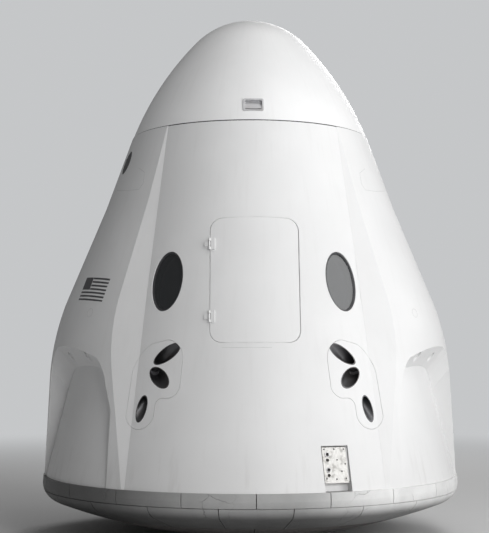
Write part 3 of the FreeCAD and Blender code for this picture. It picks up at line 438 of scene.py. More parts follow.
@dataclass(frozen=True)
class Ceramic(Finish):
    """Fired ablator tile: each tile its own tone, with fibre speckle and hairline cracks; painted shade and a
    painted highlight can scale its level.
    """

    # degrees round the base for each tile
    pitch: float = 18.0
    # added to the tiles' numbers, so that all are above nought
    first_tile: float = 40.0
    spread: float = 0.22
    tile_share: float = 0.6
    cloud_scale: float = 6.0
    cloud_ends: Pair = (0.3, 0.7)
    # the tiles' level carries painted shade towards -X, a painted highlight towards +X, and painted shade
    # towards the foot where the tiles curve under
    painted_shade_left: float = 1.0
    painted_shade_left_ends: Pair = (-1.5, -0.4)
    painted_highlight_right: float = 1.0
    painted_highlight_right_ends: Pair = (0.3, 1.15)
    painted_shade_foot: float = 1.0
    painted_shade_foot_ends: Pair = (0.35, 0.45)
    speckle_scale: float = 170.0
    speckle_ends: Pair = (0.58, 0.72)
    speckle_share: float = 0.35
    speckle_tone: float = 0.55
    speckle_depth: float = 0.0007
    crack: Colour = (0.12, 0.12, 0.12)
    crack_scale: float = 4.5
    crack_ends: Pair = (0.012, 0.002)
    crack_share: float = 0.8
    crack_depth: float = 0.002
    # how far a cloud bends the cracks, and where cracks are found at all
    wander: float = 0.16
    wander_scale: float = 5.0
    where_scale: float = 2.2
    where_ends: Pair = (0.5, 0.62)
    roughness: float = 0.72
    speckle_roughness: float = 0.18

    def channels(self, graph: Graph) -> dict[str, Any]:
        """Work out the surface shader's sockets.

        Args:
            graph: the material's graph.

        Returns:
            Values and links by socket name.
        """
        point = graph.place()
        x, y, z = graph.split(point)
        tile = (x.angle(y) * (math.degrees(1.0) / self.pitch)).floor() + self.first_tile
        tone = graph.random(tile) * self.tile_share
        cloud = graph.noise(self.cloud_scale, point, detail=6.0).ease(*self.cloud_ends)
        body = self.tones(graph, tone + cloud * (1 - self.tile_share), 1 - self.spread, 1 + self.spread)
        speckle = graph.noise(self.speckle_scale, point, detail=3.0)
        specks = speckle.ease(*self.speckle_ends) * self.speckle_share
        worn = graph.blend(specks, body, shade(self.colour, self.speckle_tone))
        # painted light: shade towards -X and towards the foot, and a highlight towards +X, multiplied into
        # the tiles' colour
        level = (self.painted_shade_left + (1 - self.painted_shade_left) * x.ease(*self.painted_shade_left_ends)
                 + (self.painted_highlight_right - 1) * x.ease(*self.painted_highlight_right_ends))
        level = level * (self.painted_shade_foot + (1 - self.painted_shade_foot) * z.ease(*self.painted_shade_foot_ends))
        drift = graph.scale(graph.noise(self.wander_scale, point, detail=6.0, output="Color"), self.wander)
        edge = graph.cells(self.crack_scale, "DISTANCE_TO_EDGE", graph.vector("ADD", point, drift))
        where = graph.noise(self.where_scale, point, detail=2.0).ease(*self.where_ends)
        crack = edge.ease(*self.crack_ends) * where
        fibre = graph.relief(speckle, self.speckle_depth)
        return {
            "Base Color": graph.blend(crack * self.crack_share, graph.scale(worn, level), self.crack),
            "Roughness": self.roughness + self.speckle_roughness * speckle,
            "Normal": graph.relief(1 - crack, self.crack_depth, fibre),
        }


@dataclass(frozen=True)
class Metal(Finish):
    """Machined or heat-tinted metal, with brushing along one way and stains."""

    roughness: float = 0.32
    brushed_roughness: float = 0.22
    cloud_roughness: float = 0.14
    tint: Colour = (0.4, 0.36, 0.33)
    tint_share: float = 0.25
    tint_scale: float = 9.0
    tint_ends: Pair = (0.45, 0.7)
    # brush marks in each metre along X, Y and Z
    grain: Triple = (12.0, 12.0, 260.0)
    grain_depth: float = 0.00025

    def channels(self, graph: Graph) -> dict[str, Any]:
        """Work out the surface shader's sockets.

        Args:
            graph: the material's graph.

        Returns:
            Values and links by socket name.
        """
        point = graph.place()
        cloud = graph.noise(self.tint_scale, point, detail=4.0)
        brushed = graph.noise(1.0, graph.vector("MULTIPLY", point, self.grain), detail=4.0)
        stain = cloud.ease(*self.tint_ends) * self.tint_share
        return {
            "Base Color": graph.blend(stain, self.colour, self.tint),
            "Metallic": 1.0,
            "Roughness": self.roughness + self.brushed_roughness * brushed + self.cloud_roughness * cloud,
            "Normal": graph.relief(brushed, self.grain_depth),
        }


@dataclass(frozen=True)
class Foil(Finish):
    """Crinkled metal foil or primed plate, mottled light and dark."""

    dark: Colour = (0.3, 0.29, 0.27)
    dark_scale: float = 26.0
    dark_ends: Pair = (0.5, 0.68)
    metallic: float = 0.45
    roughness: float = 0.3
    cloud_roughness: float = 0.35
    crease_scale: float = 34.0
    crease_depth: float = 0.004

    def channels(self, graph: Graph) -> dict[str, Any]:
        """Work out the surface shader's sockets.

        Args:
            graph: the material's graph.

        Returns:
            Values and links by socket name.
        """
        point = graph.place()
        creases = graph.cells(self.crease_scale, "F1", point)
        cloud = graph.noise(self.dark_scale, point, detail=5.0)
        return {
            "Base Color": graph.blend(cloud.ease(*self.dark_ends), self.colour, self.dark),
            "Metallic": self.metallic,
            "Roughness": self.roughness + self.cloud_roughness * cloud,
            "Normal": graph.relief(creases, self.crease_depth),
        }


@dataclass(frozen=True)
class Moulding(Finish):
    """Moulded plastic, composite or rubber with a fine leathery grain."""

    roughness: float = 0.5
    cloud_roughness: float = 0.15
    grain_scale: float = 420.0
    grain_depth: float = 0.0003
    speck: float = 0.1
    speck_scale: float = 5.0
    speck_ends: Pair = (0.35, 0.7)

    def channels(self, graph: Graph) -> dict[str, Any]:
        """Work out the surface shader's sockets.

        Args:
            graph: the material's graph.

        Returns:
            Values and links by socket name.
        """
        point = graph.place()
        grain = graph.cells(self.grain_scale, "F1", point)
        cloud = graph.noise(self.speck_scale, point, detail=4.0)
        return {
            "Base Color": self.tones(graph, cloud.ease(*self.speck_ends), 1 - self.speck, 1 + self.speck),
            "Roughness": self.roughness + self.cloud_roughness * cloud,
            "Normal": graph.relief(grain, self.grain_depth),
        }


@dataclass(frozen=True)
class Glass(Finish):
    """Dark tinted pane, faintly smeared."""

    roughness: float = 0.02
    smear: float = 0.06
    smear_scale: float = 7.0
    smear_ends: Pair = (0.45, 0.8)
    clearness: float = 0.85
    refraction: float = 1.5
    coat: float = 0.5

    def channels(self, graph: Graph) -> dict[str, Any]:
        """Work out the surface shader's sockets.

        Args:
            graph: the material's graph.

        Returns:
            Values and links by socket name.
        """
        smear = graph.noise(self.smear_scale, graph.place(), detail=5.0)
        return {
            "Base Color": self.colour,
            "Roughness": self.roughness + self.smear * smear.ease(*self.smear_ends),
            "IOR": self.refraction,
            "Transmission Weight": self.clearness,
            "Coat Weight": self.coat,
            "Coat Roughness": self.roughness,
        }


@dataclass(frozen=True)
class Cloth(Finish):
    """Woven cover cloth with a fine plain weave and softly rubbed crowns."""

    # radians of weave in each metre, and how far the two threads lean with height
    threads: float = 900.0
    warp_lean: float = 0.4
    weft_lean: float = -0.3
    weave_share: float = 0.25
    weave_tone: float = 0.7
    weave_depth: float = 0.0004
    rub: float = 0.14
    rub_scale: float = 11.0
    rub_ends: Pair = (0.35, 0.7)
    roughness: float = 0.78
    cloud_roughness: float = 0.12

    def channels(self, graph: Graph) -> dict[str, Any]:
        """Work out the surface shader's sockets.

        Args:
            graph: the material's graph.

        Returns:
            Values and links by socket name.
        """
        point = graph.place()
        x, y, z = graph.split(point)
        warp = ((x + z * self.warp_lean) * self.threads).sine()
        weft = ((y + z * self.weft_lean) * self.threads).sine()
        weave = (warp * weft + 1) * 0.5
        cloud = graph.noise(self.rub_scale, point, detail=4.0)
        worn = self.tones(graph, cloud.ease(*self.rub_ends), 1 - self.rub, 1 + self.rub)
        return {
            "Base Color": graph.blend(weave * self.weave_share, worn, shade(self.colour, self.weave_tone)),
            "Roughness": self.roughness + self.cloud_roughness * cloud,
            "Normal": graph.relief(weave, self.weave_depth),
        }


SHELL_PAINT = Paint("shell_paint", (0.80, 0.80, 0.80))
NOSE_PAINT = Paint("nose_paint", (0.89, 0.89, 0.89), roughness=0.38, soot_share=0.0)
HATCH_PAINT = Paint("hatch_paint", (0.80, 0.80, 0.80), mottle=0.035)
MARKING = Paint("marking", (0.085, 0.085, 0.09), roughness=0.5, soot_share=0.0, mottle=0.2)
# the rim tiles carry painted shade towards -X and towards the foot, and a painted highlight towards +X
RIM_TILE = Ceramic("rim_tile", (0.39, 0.39, 0.387), painted_shade_left=0.3, painted_highlight_right=1.95, painted_shade_foot=0.35,
                   spread=0.13, roughness=0.42)
BASE_TILE = Ceramic("base_tile", (0.16, 0.15, 0.145), pitch=30.0, crack=(0.05, 0.05, 0.05))
CARRIER = Metal("carrier", (0.32, 0.32, 0.33), roughness=0.45)
NOZZLE = Metal("nozzle", (0.14, 0.14, 0.145), tint=(0.1, 0.08, 0.07), tint_share=0.5, roughness=0.3)
INJECTOR = Metal("injector", (0.10, 0.10, 0.105), roughness=0.45, tint_share=0.4)
HINGE_METAL = Metal("hinge_metal", (0.62, 0.62, 0.63))
DOCK_METAL = Metal("dock_metal", (0.7, 0.7, 0.71), roughness=0.28, grain=(260.0, 260.0, 12.0))
BOLT_STEEL = Metal("bolt_steel", (0.55, 0.55, 0.56), roughness=0.25, grain=(90.0, 90.0, 90.0))
EQUIPMENT = Metal("equipment", (0.5, 0.5, 0.5), roughness=0.4)
BAY_PLATE = Foil("bay_plate", (0.62, 0.61, 0.59), dark=(0.42, 0.41, 0.39))
GLASS = Glass("window_glass", (0.10, 0.11, 0.12))
WINDOW_FRAME = Moulding("window_frame", (0.05, 0.05, 0.055), roughness=0.4)
SEAT_SHELL = Moulding("seat_shell", (0.05, 0.05, 0.055), roughness=0.35)
CABIN_TRIM = Moulding("cabin_trim", (0.7, 0.7, 0.69), roughness=0.55)
SCREEN = Moulding("screen", (0.012, 0.012, 0.014), roughness=0.08, grain_depth=0.00001)
SCREEN_GLASS = Moulding("screen_glass", (0.02, 0.024, 0.03), roughness=0.06, grain_depth=0.00001)
SEAL_GREY = Moulding("seal_grey", (0.72, 0.72, 0.72), roughness=0.6)
SEAL_BLACK = Moulding("seal_black", (0.03, 0.03, 0.032), roughness=0.45)
SEAL_FAINT = Moulding("seal_faint", (0.60, 0.60, 0.60), roughness=0.6)
LINING = Moulding("hatch_lining", (0.62, 0.62, 0.61), roughness=0.7)
SEAT_CLOTH = Cloth("seat_cloth", (0.11, 0.115, 0.125))


def dress(finish: Finish, *nodes: str) -> None:
    """Give nodes of the frame a finish.

    Args:
        finish: the finish.
        nodes: the nodes' names.
    """
    for name in nodes:
        materials = frame["nodes"][name].data.materials
        materials.clear()
        materials.append(finish.material())
        log.info("%s: %s", name, finish.name)


# ------------------------------------------------------------------ points and places

def polar(radius: float, turn: float, z: float = 0.0) -> Vector:
    """A point at a radius, an angle in radians from +X and a height."""
    return Vector((radius * math.cos(turn), radius * math.sin(turn), z))


def outward(azimuth: float) -> Vector:
    """The level way out from the axis at an azimuth."""
    return polar(1.0, math.radians(azimuth - 90.0))


def turns(count: int, start: float = 0.0) -> list[float]:
    """Equal turns of a circle in radians, the first one a share of a step from nought."""
    return [math.tau * (index + start) / count for index in range(count)]


def shift(x: float, y: float, z: float) -> Matrix:
    """A place moved from the origin."""
    return Matrix.Translation((x, y, z))


def spin(degrees: float, axis: str) -> Matrix:
    """A place turned about an axis."""
    return Matrix.Rotation(math.radians(degrees), 4, axis)


def basis(origin: Vector, across: Vector, up: Vector, out: Vector) -> Matrix:
    """A place from its origin and its X, Y and Z axes."""
    return Matrix.Translation(origin) @ Matrix((across, up, out)).transposed().to_4x4()


def strike(node: str, start: Vector, way: Vector) -> tuple[Vector, Vector] | None:
    """Find where a ray meets a node.

    Args:
        node: the node.
        start: where the ray starts.
        way: where it goes.

    Returns:
        The point and the face's normal, or None where the ray misses.
    """
    hit, point, normal, _ = frame["nodes"][node].ray_cast(start, way.normalized())
    return (point, normal) if hit else None


def seat(node: str, start: Vector, way: Vector) -> Matrix | None:
    """Find a place where a ray meets a node, with Z out of the face.

    Args:
        node: the node.
        start: where the ray starts.
        way: where it goes.

    Returns:
        The place, or None where the ray misses.
    """
    met = strike(node, start, way)
    if met is None:
        return None
    point, normal = met
    return Matrix.Translation(point) @ normal.to_track_quat("Z", "Y").to_matrix().to_4x4()


def rounded_line(half_x: float, half_y: float, corner: float, step: float) -> list[Pair]:
    """Points round a rectangle with round corners.

    Args:
        half_x: half its width.
        half_y: half its height.
        corner: radius of its corners.
        step: distance from point to point in a corner; along a side it is twice that.

    Returns:
        The points, anticlockwise.
    """
    points = []
    count = max(3, round(corner * math.pi / 2 / step))
    for sign_x, sign_y, start in ((1, 1, 0.0), (-1, 1, 90.0), (-1, -1, 180.0), (1, -1, 270.0)):
        middle = Vector((sign_x * (half_x - corner), sign_y * (half_y - corner), 0.0))
        for index in range(count + 1):
            points.append(middle + polar(corner, math.radians(start + 90.0 * index / count)))
    filled = []
    for start, end in zip(points, [*points[1:], points[0]]):
        count = max(1, round((end - start).length / (2 * step)))
        filled += [start.lerp(end, index / count).xy.to_tuple() for index in range(count)]
    return filled


# ------------------------------------------------------------------ modelling by operators

def alone(item: bpy.types.Object) -> None:
    """Select one object only and make it the active one.

    Args:
        item: the object.
    """
    bpy.ops.object.select_all(action="DESELECT")
    item.select_set(True)
    bpy.context.view_layer.objects.active = item


def bake(item: bpy.types.Object) -> None:
    """Settle an object's place, turn and size into its mesh."""
    alone(item)
    bpy.ops.object.transform_apply(location=True, rotation=True, scale=True)


@contextmanager
def editing(item: bpy.types.Object) -> Iterator[None]:
    """Open an object in edit mode with nothing selected, and close it at the end.

    Args:
        item: the object.

    Yields:
        Nothing; the object is in edit mode meanwhile.
    """
    alone(item)
    bpy.ops.object.mode_set(mode="EDIT")
    bpy.ops.mesh.select_all(action="DESELECT")
    yield
    bpy.ops.object.mode_set(mode="OBJECT")


def pick(item: bpy.types.Object, way: Vector = UP) -> None:
    """Select the faces that look one way, of an object in edit mode.

    Args:
        item: the object.
        way: the way, as a unit vector.
    """
    bpy.ops.mesh.select_mode(type="FACE")
    mesh = bmesh.from_edit_mesh(item.data)
    for face in mesh.faces:
        face.select_set(face.normal.dot(way) > FACING)
    bmesh.update_edit_mesh(item.data)


def pick_all() -> None:
    """Select everything of the mesh being edited."""
    bpy.ops.mesh.select_all(action="SELECT")


def extrude(x: float, y: float, z: float) -> None:
    """Extrude what is selected and move it."""
    bpy.ops.mesh.extrude_region_move(TRANSFORM_OT_translate={"value": (x, y, z)})


def inset(*steps: Pair) -> None:
    """Inset the selected faces once for each pair of a thickness and a depth."""
    for thickness, depth in steps:
        bpy.ops.mesh.inset(thickness=thickness, depth=depth)


def face_out() -> None:
    """Turn every face of the mesh being edited outwards."""
    pick_all()
    bpy.ops.mesh.normals_make_consistent(inside=False)


def modify(item: bpy.types.Object, kind: str, **settings: Any) -> None:
    """Add a modifier with its settings and apply it.

    Args:
        item: the object.
        kind: the modifier's type.
        settings: its options.
    """
    alone(item)
    modifier = item.modifiers.new(kind.lower(), kind)
    for name, value in settings.items():
        setattr(modifier, name, value)
    bpy.ops.object.modifier_apply(modifier=modifier.name)


def stand(item: bpy.types.Object, place: Matrix) -> bpy.types.Object:
    """Put an object at a place and settle that place into its mesh.

    Args:
        item: an object at the origin.
        place: where it goes.

    Returns:
        The object.
    """
    item.matrix_world = place
    bake(item)
    return item


def joined(*items: bpy.types.Object) -> bpy.types.Object:
    """Join objects into one.

    Args:
        items: the objects.

    Returns:
        The one that holds them all.
    """
    alone(items[0])
    for item in items:
        item.select_set(True)
    if len(items) > 1:
        bpy.ops.object.join()
    return bpy.context.object


def copies(item: bpy.types.Object, places: Sequence[Matrix]) -> bpy.types.Object:
    """Copy a modelled object to every place and join the copies.

    Args:
        item: the object, modelled about the origin; it is used up.
        places: where each copy goes.

    Returns:
        One object that holds them all.
    """
    made = []
    for place in places:
        alone(item)
        bpy.ops.object.duplicate(linked=False)
        made.append(stand(bpy.context.object, place))
    bpy.data.objects.remove(item)
    return joined(*made)


def settle(
    item: bpy.types.Object, name: str, finish: Finish, body: Body, angle: float = 35.0,
) -> None:
    """Finish a piece: smooth it, dress it and let it ride on its body.

    Args:
        item: the object.
        name: the piece's name.
        finish: its finish.
        body: the body that it rides on.
        angle: edges sharper than this stay sharp, in degrees.
    """
    bake(item)
    bpy.ops.object.shade_smooth_by_angle(angle=math.radians(angle))
    item.name = name
    item.data.name = name
    item.data.materials.clear()
    item.data.materials.append(finish.material())
    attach(item, body.value)
    log.info("%s: %d faces on %s", name, len(item.data.polygons), body.value)


def bead(
    points: Sequence[Vector], width: float, closed: bool = False, sides: int = 2,
) -> bpy.types.Object:
    """A round bead or bar along a line.

    Args:
        points: the line.
        width: the bead's width.
        closed: whether its end joins its start.
        sides: how finely it is rounded.

    Returns:
        The bead as a mesh.
    """
    bpy.ops.curve.primitive_nurbs_path_add(location=(0.0, 0.0, 0.0))
    item = bpy.context.object
    line = item.data
    line.splines.clear()
    run = line.splines.new("POLY")
    run.points.add(len(points) - 1)
    for spot, point in zip(run.points, points):
        spot.co = (*point, 1.0)
    run.use_cyclic_u = closed
    line.dimensions = "3D"
    line.bevel_depth = width / 2.0
    line.bevel_resolution = sides
    line.use_fill_caps = not closed
    alone(item)
    bpy.ops.object.convert(target="MESH")
    return bpy.context.object


@dataclass(frozen=True)
class SocketBolt:
    """A socket bolt on its washer, standing on the origin; its details are shares of its size."""

    radius: float
    height: float
    washer: float = 1.45
    washer_height: float = 0.3
    chamfer: float = 0.12
    crown: float = 0.06
    wall: float = 0.35
    socket: float = 0.5
    sides: int = 12

    def make(self) -> bpy.types.Object:
        """Model the bolt.

        Returns:
            The bolt.
        """
        base = self.height * self.washer_height
        bpy.ops.mesh.primitive_cylinder_add(vertices=self.sides, radius=self.radius * self.washer,
                                            depth=base, location=(0.0, 0.0, base / 2))
        item = bpy.context.object
        bake(item)
        with editing(item):
            pick(item)
            inset((self.radius * (self.washer - 1), 0.0))
            extrude(0.0, 0.0, self.height - base)
            inset((self.radius * self.chamfer, 0.0))
            bpy.ops.transform.translate(value=(0.0, 0.0, self.height * self.crown))
            inset((self.radius * self.wall, 0.0))
            extrude(0.0, 0.0, -self.height * self.socket)
        return item


def ring(radius: float, width: float, height: float, edge: float, sides: int = 96) -> bpy.types.Object:
    """A flat ring with rounded edges about the Z axis, its foot at nought.

    Args:
        radius: the middle of its width.
        width: across the ring.
        height: along Z.
        edge: rounding of its edges.
        sides: sides round it.

    Returns:
        The ring.
    """
    inner, outer = radius - width / 2.0, radius + width / 2.0
    bpy.ops.mesh.primitive_circle_add(vertices=sides, radius=inner, fill_type="NOTHING")
    item = bpy.context.object
    with editing(item):
        pick_all()
        bpy.ops.mesh.extrude_edges_move()
        bpy.ops.transform.resize(value=(outer / inner, outer / inner, 1.0))
        pick_all()
        extrude(0.0, 0.0, height)
        face_out()
    modify(item, "BEVEL", width=edge, segments=2, limit_method="ANGLE")
    return item


def block(size: Triple, edge: float, segments: int = 2) -> bpy.types.Object:
    """A block about the origin with rounded edges.

    Args:
        size: its three sides.
        edge: rounding of its edges.
        segments: steps of that rounding.

    Returns:
        The block.
    """
    bpy.ops.mesh.primitive_cube_add(size=1.0)
    item = bpy.context.object
    stand(item, Matrix.Diagonal((*size, 1.0)))
    modify(item, "BEVEL", width=edge, segments=segments)
    return item


def patch(
    node: str, place: Matrix, size: Pair, cells: tuple[int, int], lift: float, thickness: float,
    hover: float = 0.1,
) -> bpy.types.Object:
    """A thin rectangle laid on a node's face.

    Args:
        node: the node.
        place: the patch's middle; X along its width, Z outwards.
        size: width and height.
        cells: how many cells it has along each.
        lift: metres off the face.
        thickness: metres.
        hover: how far above the face it starts from.

    Returns:
        The patch.
    """
    bpy.ops.mesh.primitive_grid_add(x_subdivisions=cells[0], y_subdivisions=cells[1], size=1.0)
    item = bpy.context.object
    stand(item, place @ shift(0.0, 0.0, hover) @ Matrix.Diagonal((*size, 1.0, 1.0)))
    modify(item, "SHRINKWRAP", target=frame["nodes"][node], wrap_method="NEAREST_SURFACEPOINT",
           offset=lift, wrap_mode="ABOVE_SURFACE")
    modify(item, "SOLIDIFY", thickness=thickness, offset=1.0)
    return item


# ------------------------------------------------------------------ the capsule's own faces

@dataclass(frozen=True)
class Skin:
    """The outer face of one CAD node, on which lines and patches are laid."""

    node: str
    # how far out a ray that looks for the face starts
    away: float = 4.0
    # radius that turns an azimuth into metres along a line
    girth: float = 1.6

    def touch(self, azimuth: float, z: float) -> tuple[Vector, Vector]:
        """Find where a level ray from outside meets the node.

        Args:
            azimuth: of the ray.
            z: height.

        Returns:
            The point and the outward normal.
        """
        way = outward(azimuth)
        met = strike(self.node, UP * z + way * self.away, -way)
        if met is None:
            raise ValueError(f"no {self.node} at azimuth {azimuth}, height {z}")
        return met

    def place(self, azimuth: float, z: float) -> Matrix:
        """Find a place on the node.

        Args:
            azimuth: of the place.
            z: height.

        Returns:
            The place: X level to the right, Y up the slope, Z outwards.
        """
        point, normal = self.touch(azimuth, z)
        across = UP.cross(normal).normalized()
        return basis(point, across, normal.cross(across), normal)

    def line(self, corners: Sequence[Pair], sink: float, step: float = 0.02) -> list[Vector]:
        """Lay a line of azimuths and heights on the node.

        Args:
            corners: azimuth and height of each corner.
            sink: metres below the face.
            step: metres from point to point.

        Returns:
            The points.
        """
        spots = []
        for (turn_a, low), (turn_b, high) in zip(corners, corners[1:]):
            run = math.hypot(math.radians(turn_b - turn_a) * self.girth, high - low)
            count = max(1, round(run / step))
            spots += [(turn_a + (turn_b - turn_a) * index / count, low + (high - low) * index / count)
                      for index in range(count)]
        touched = (self.touch(azimuth, z) for azimuth, z in [*spots, corners[-1]])
        return [point - normal * sink for point, normal in touched]


@dataclass(frozen=True)
class Cone:
    """The cabin's conical skin, read from the front wall."""

    wall: Skin = Skin("cabin_wall_front")
    azimuth: float = 12.0
    low: float = 1.0
    high: float = 3.2
    # rounds of closing in on the skin
    rounds: int = 12

    @cache
    def slope(self) -> Pair:
        """Read the cone off the wall.

        Returns:
            The radius at the low height, and the loss of radius for each metre up.
        """
        foot, top = (self.wall.touch(self.azimuth, z)[0].xy.length for z in (self.low, self.high))
        return foot, (foot - top) / (self.high - self.low)

    def radius(self, z: float) -> float:
        """The skin's radius at a height."""
        foot, loss = self.slope()
        return foot - loss * (z - self.low)

    def face(self, azimuth: float, z: float) -> Matrix:
        """A place on the skin: X level to the right, Y up the slope, Z outwards."""
        lean = math.degrees(math.atan(self.slope()[1]))
        return spin(azimuth, "Z") @ shift(0.0, -self.radius(z), z) @ spin(90.0 - lean, "X")

    def drop(self, place: Matrix, x: float, y: float) -> Vector:
        """Move a point of a face's plane along the face's normal onto the skin.

        Args:
            place: the face.
            x: across.
            y: up the slope.

        Returns:
            The point on the skin.
        """
        normal = place.col[2].xyz
        point = place @ Vector((x, y, 0.0))
        for _ in range(self.rounds):
            point += normal * (self.radius(point.z) - point.xy.length)
        return point


CONE = Cone()


# ------------------------------------------------------------------ outside

@dataclass
class CabinShell:
    """Sealed seams and the striped marking on the cabin's outer skin."""

    seam_width: float = 0.005
    seam_sink: float = 0.0012
    sill_height: float = 1.775
    sill_ends: Pair = (-9.8, 4.8)
    # azimuth and height of the upper cover's corners on a pod, for the front left
    cover: tuple[Pair, ...] = (
        (-71.0, 3.285), (-58.0, 3.245), (-51.0, 3.238), (-49.2, 3.29), (-50.2, 3.40), (-55.2, 3.455))
    plug_spot: Pair = (-57.6, 2.095)
    plug_radius: float = 0.04
    plug_hover: float = 0.05
    plug_points: int = 24
    marked: str = "engine_pod_front_left"
    marking_spot: Pair = (-60.0, 2.316)
    marking_size: Pair = (0.455, 0.225)
    marking_tilt: float = -5.0
    marking_lift: float = 0.0003
    marking_thickness: float = 0.0005
    marking_cell: float = 0.03
    stripe_count: int = 7
    canton_share: float = 0.36
    canton_gap: float = 0.015
    canton_stripes: int = 4

    def build(self) -> None:
        """Make everything on the skin."""
        self.make_sill()
        for quadrant in Quadrant:
            self.make_cover(quadrant)
        self.make_marking()

    def make_sill(self) -> None:
        """Make the short seam under the hatch."""
        ends = [(azimuth, self.sill_height) for azimuth in self.sill_ends]
        line = CONE.wall.line(ends, self.seam_sink)
        settle(bead(line, self.seam_width), "sill_seam", SEAL_FAINT, Body.CAPSULE)

    def make_cover(self, quadrant: Quadrant) -> None:
        """Make the seam of a pod's upper cover and the ring of its lifting plug.

        Args:
            quadrant: which pod.
        """
        skin = Skin(f"engine_pod_{quadrant.suffix}")
        corners = [(quadrant.mirror(azimuth), z) for azimuth, z in self.cover]
        seam = bead(skin.line(corners, self.seam_sink), self.seam_width)
        azimuth, z = self.plug_spot
        place = skin.place(quadrant.mirror(azimuth), z)
        round_line = []
        for turn in turns(self.plug_points):
            start = place @ polar(self.plug_radius, turn, self.plug_hover)
            point, normal = strike(skin.node, start, -place.col[2].xyz)
            round_line.append(point - normal * self.seam_sink)
        plug = bead(round_line, self.seam_width, closed=True)
        settle(joined(seam, plug), f"pod_seams_{quadrant.suffix}", SEAL_FAINT, Body.CAPSULE)

    def make_marking(self) -> None:
        """Make a plain striped panel with a dark corner on the left cheek."""
        width, height = self.marking_size
        stripe = height / (2 * self.stripe_count - 1)
        corner_height = (2 * self.canton_stripes - 1) * stripe
        pieces = [self.make_bar(-width * (1 - self.canton_share) / 2, (height - corner_height) / 2,
                                (width * self.canton_share, corner_height))]
        for index in range(self.stripe_count):
            start = self.canton_share + self.canton_gap if index < self.canton_stripes else 0.0
            y = height / 2 - stripe * (2 * index + 0.5)
            pieces.append(self.make_bar(width * start / 2, y, (width * (1 - start), stripe)))
        settle(joined(*pieces), "cheek_marking", MARKING, Body.CAPSULE)

    def make_bar(self, x: float, y: float, size: Pair) -> bpy.types.Object:
        """Make one painted rectangle of the marking.

        Args:
            x: its middle across the marking.
            y: its middle up the marking.
            size: its width and height.

        Returns:
            The rectangle.
        """
        place = Skin(self.marked).place(*self.marking_spot) @ spin(self.marking_tilt, "Z") @ shift(x, y, 0.0)
        cells = tuple(max(2, round(side / self.marking_cell)) for side in size)
        return patch(self.marked, place, size, cells, self.marking_lift, self.marking_thickness)


@dataclass
class HatchTrim:
    """The side hatch's seal, lining, latches and handle."""

    height: float = 2.372
    half_width: float = 0.396
    half_length: float = 0.571
    corner: float = 0.116
    seal_width: float = 0.0134
    seal_sink: float = 0.0061
    seal_step: float = 0.02
    # how far inside the hatch a ray that looks for its inner face starts
    depth: float = 0.5
    lining_size: Pair = (0.5, 0.84)
    lining_cells: tuple[int, int] = (14, 20)
    lining_lift: float = 0.001
    lining_hover: float = 0.08
    lining_thickness: float = 0.006
    # thickness and depth of each inset of the pressed border, from the edge inwards
    lining_border: tuple[Pair, ...] = ((0.012, 0.0), (0.003, -0.003), (0.007, 0.0), (0.003, 0.004))
    latch_columns: Pair = (-0.3, 0.3)
    latch_rows: tuple[float, ...] = (-0.36, -0.12, 0.12, 0.36)
    latch_size: Triple = (0.05, 0.032, 0.02)
    latch_edge: float = 0.004
    latch_dish: Pair = (0.006, -0.004)
    latch_lift: float = 0.011
    handle_level: float = -0.1
    handle_radius: float = 0.011
    handle_reach: float = 0.15
    handle_foot: float = 0.006
    handle_rise: float = 0.05
    handle_steps: int = 16
    foot_bolt: SocketBolt = SocketBolt(0.016, 0.01)
    foot_lift: float = 0.007

    def build(self) -> None:
        """Make the hatch's trim."""
        self.make_seal()
        self.make_lining()
        self.make_latches()
        self.make_handle()

    def make_seal(self) -> None:
        """Make the pale seal that fills the gap round the hatch."""
        face = CONE.face(0.0, self.height)
        sink = face.col[2].xyz * self.seal_sink
        outline = rounded_line(self.half_width, self.half_length, self.corner, self.seal_step)
        line = [CONE.drop(face, x, y) - sink for x, y in outline]
        settle(bead(line, self.seal_width, closed=True), "side_hatch_seal", SEAL_GREY, Body.CAPSULE)

    def inside(self, x: float, y: float) -> Matrix:
        """Find a place on the hatch's inner face.

        Args:
            x: across.
            y: up the slope.

        Returns:
            The place, with Z inwards.
        """
        face = CONE.face(0.0, self.height)
        slope, out = face.col[1].xyz, face.col[2].xyz
        point, inwards = strike("side_hatch", face @ Vector((x, y, -self.depth)), out)
        up = (slope - inwards * slope.dot(inwards)).normalized()
        return basis(point, up.cross(inwards), up, inwards)

    def make_lining(self) -> None:
        """Make the padded trim panel on the hatch's inner face, with a pressed border."""
        place = self.inside(0.0, 0.0)
        item = patch("side_hatch", place, self.lining_size, self.lining_cells, self.lining_lift,
                     self.lining_thickness, self.lining_hover)
        with editing(item):
            pick(item, place.col[2].xyz)
            inset(*self.lining_border)
        settle(item, "side_hatch_lining", LINING, Body.HATCH)

    def make_latches(self) -> None:
        """Make two rows of latch bolts at the hatch's inner edges."""
        latch = block(self.latch_size, self.latch_edge)
        with editing(latch):
            pick(latch)
            inset(self.latch_dish)
        places = [self.inside(x, y) @ shift(0.0, 0.0, self.latch_lift)
                  for x in self.latch_columns for y in self.latch_rows]
        settle(copies(latch, places), "side_hatch_latches", BOLT_STEEL, Body.HATCH)

    def make_handle(self) -> None:
        """Make the bent grab handle on two round feet."""
        place = self.inside(0.0, self.handle_level)
        arc = []
        for index in range(self.handle_steps + 1):
            share = index / self.handle_steps
            height = self.handle_foot + self.handle_rise * math.sin(math.pi * share) ** 0.5
            arc.append(place @ Vector((self.handle_reach * (2 * share - 1), 0.0, height)))
        handle = bead(arc, self.handle_radius * 2, sides=3)
        feet = copies(self.foot_bolt.make(), [place @ shift(x, 0.0, self.foot_lift)
                                              for x in (-self.handle_reach, self.handle_reach)])
        settle(joined(handle, feet), "side_hatch_handle", HINGE_METAL, Body.HATCH)


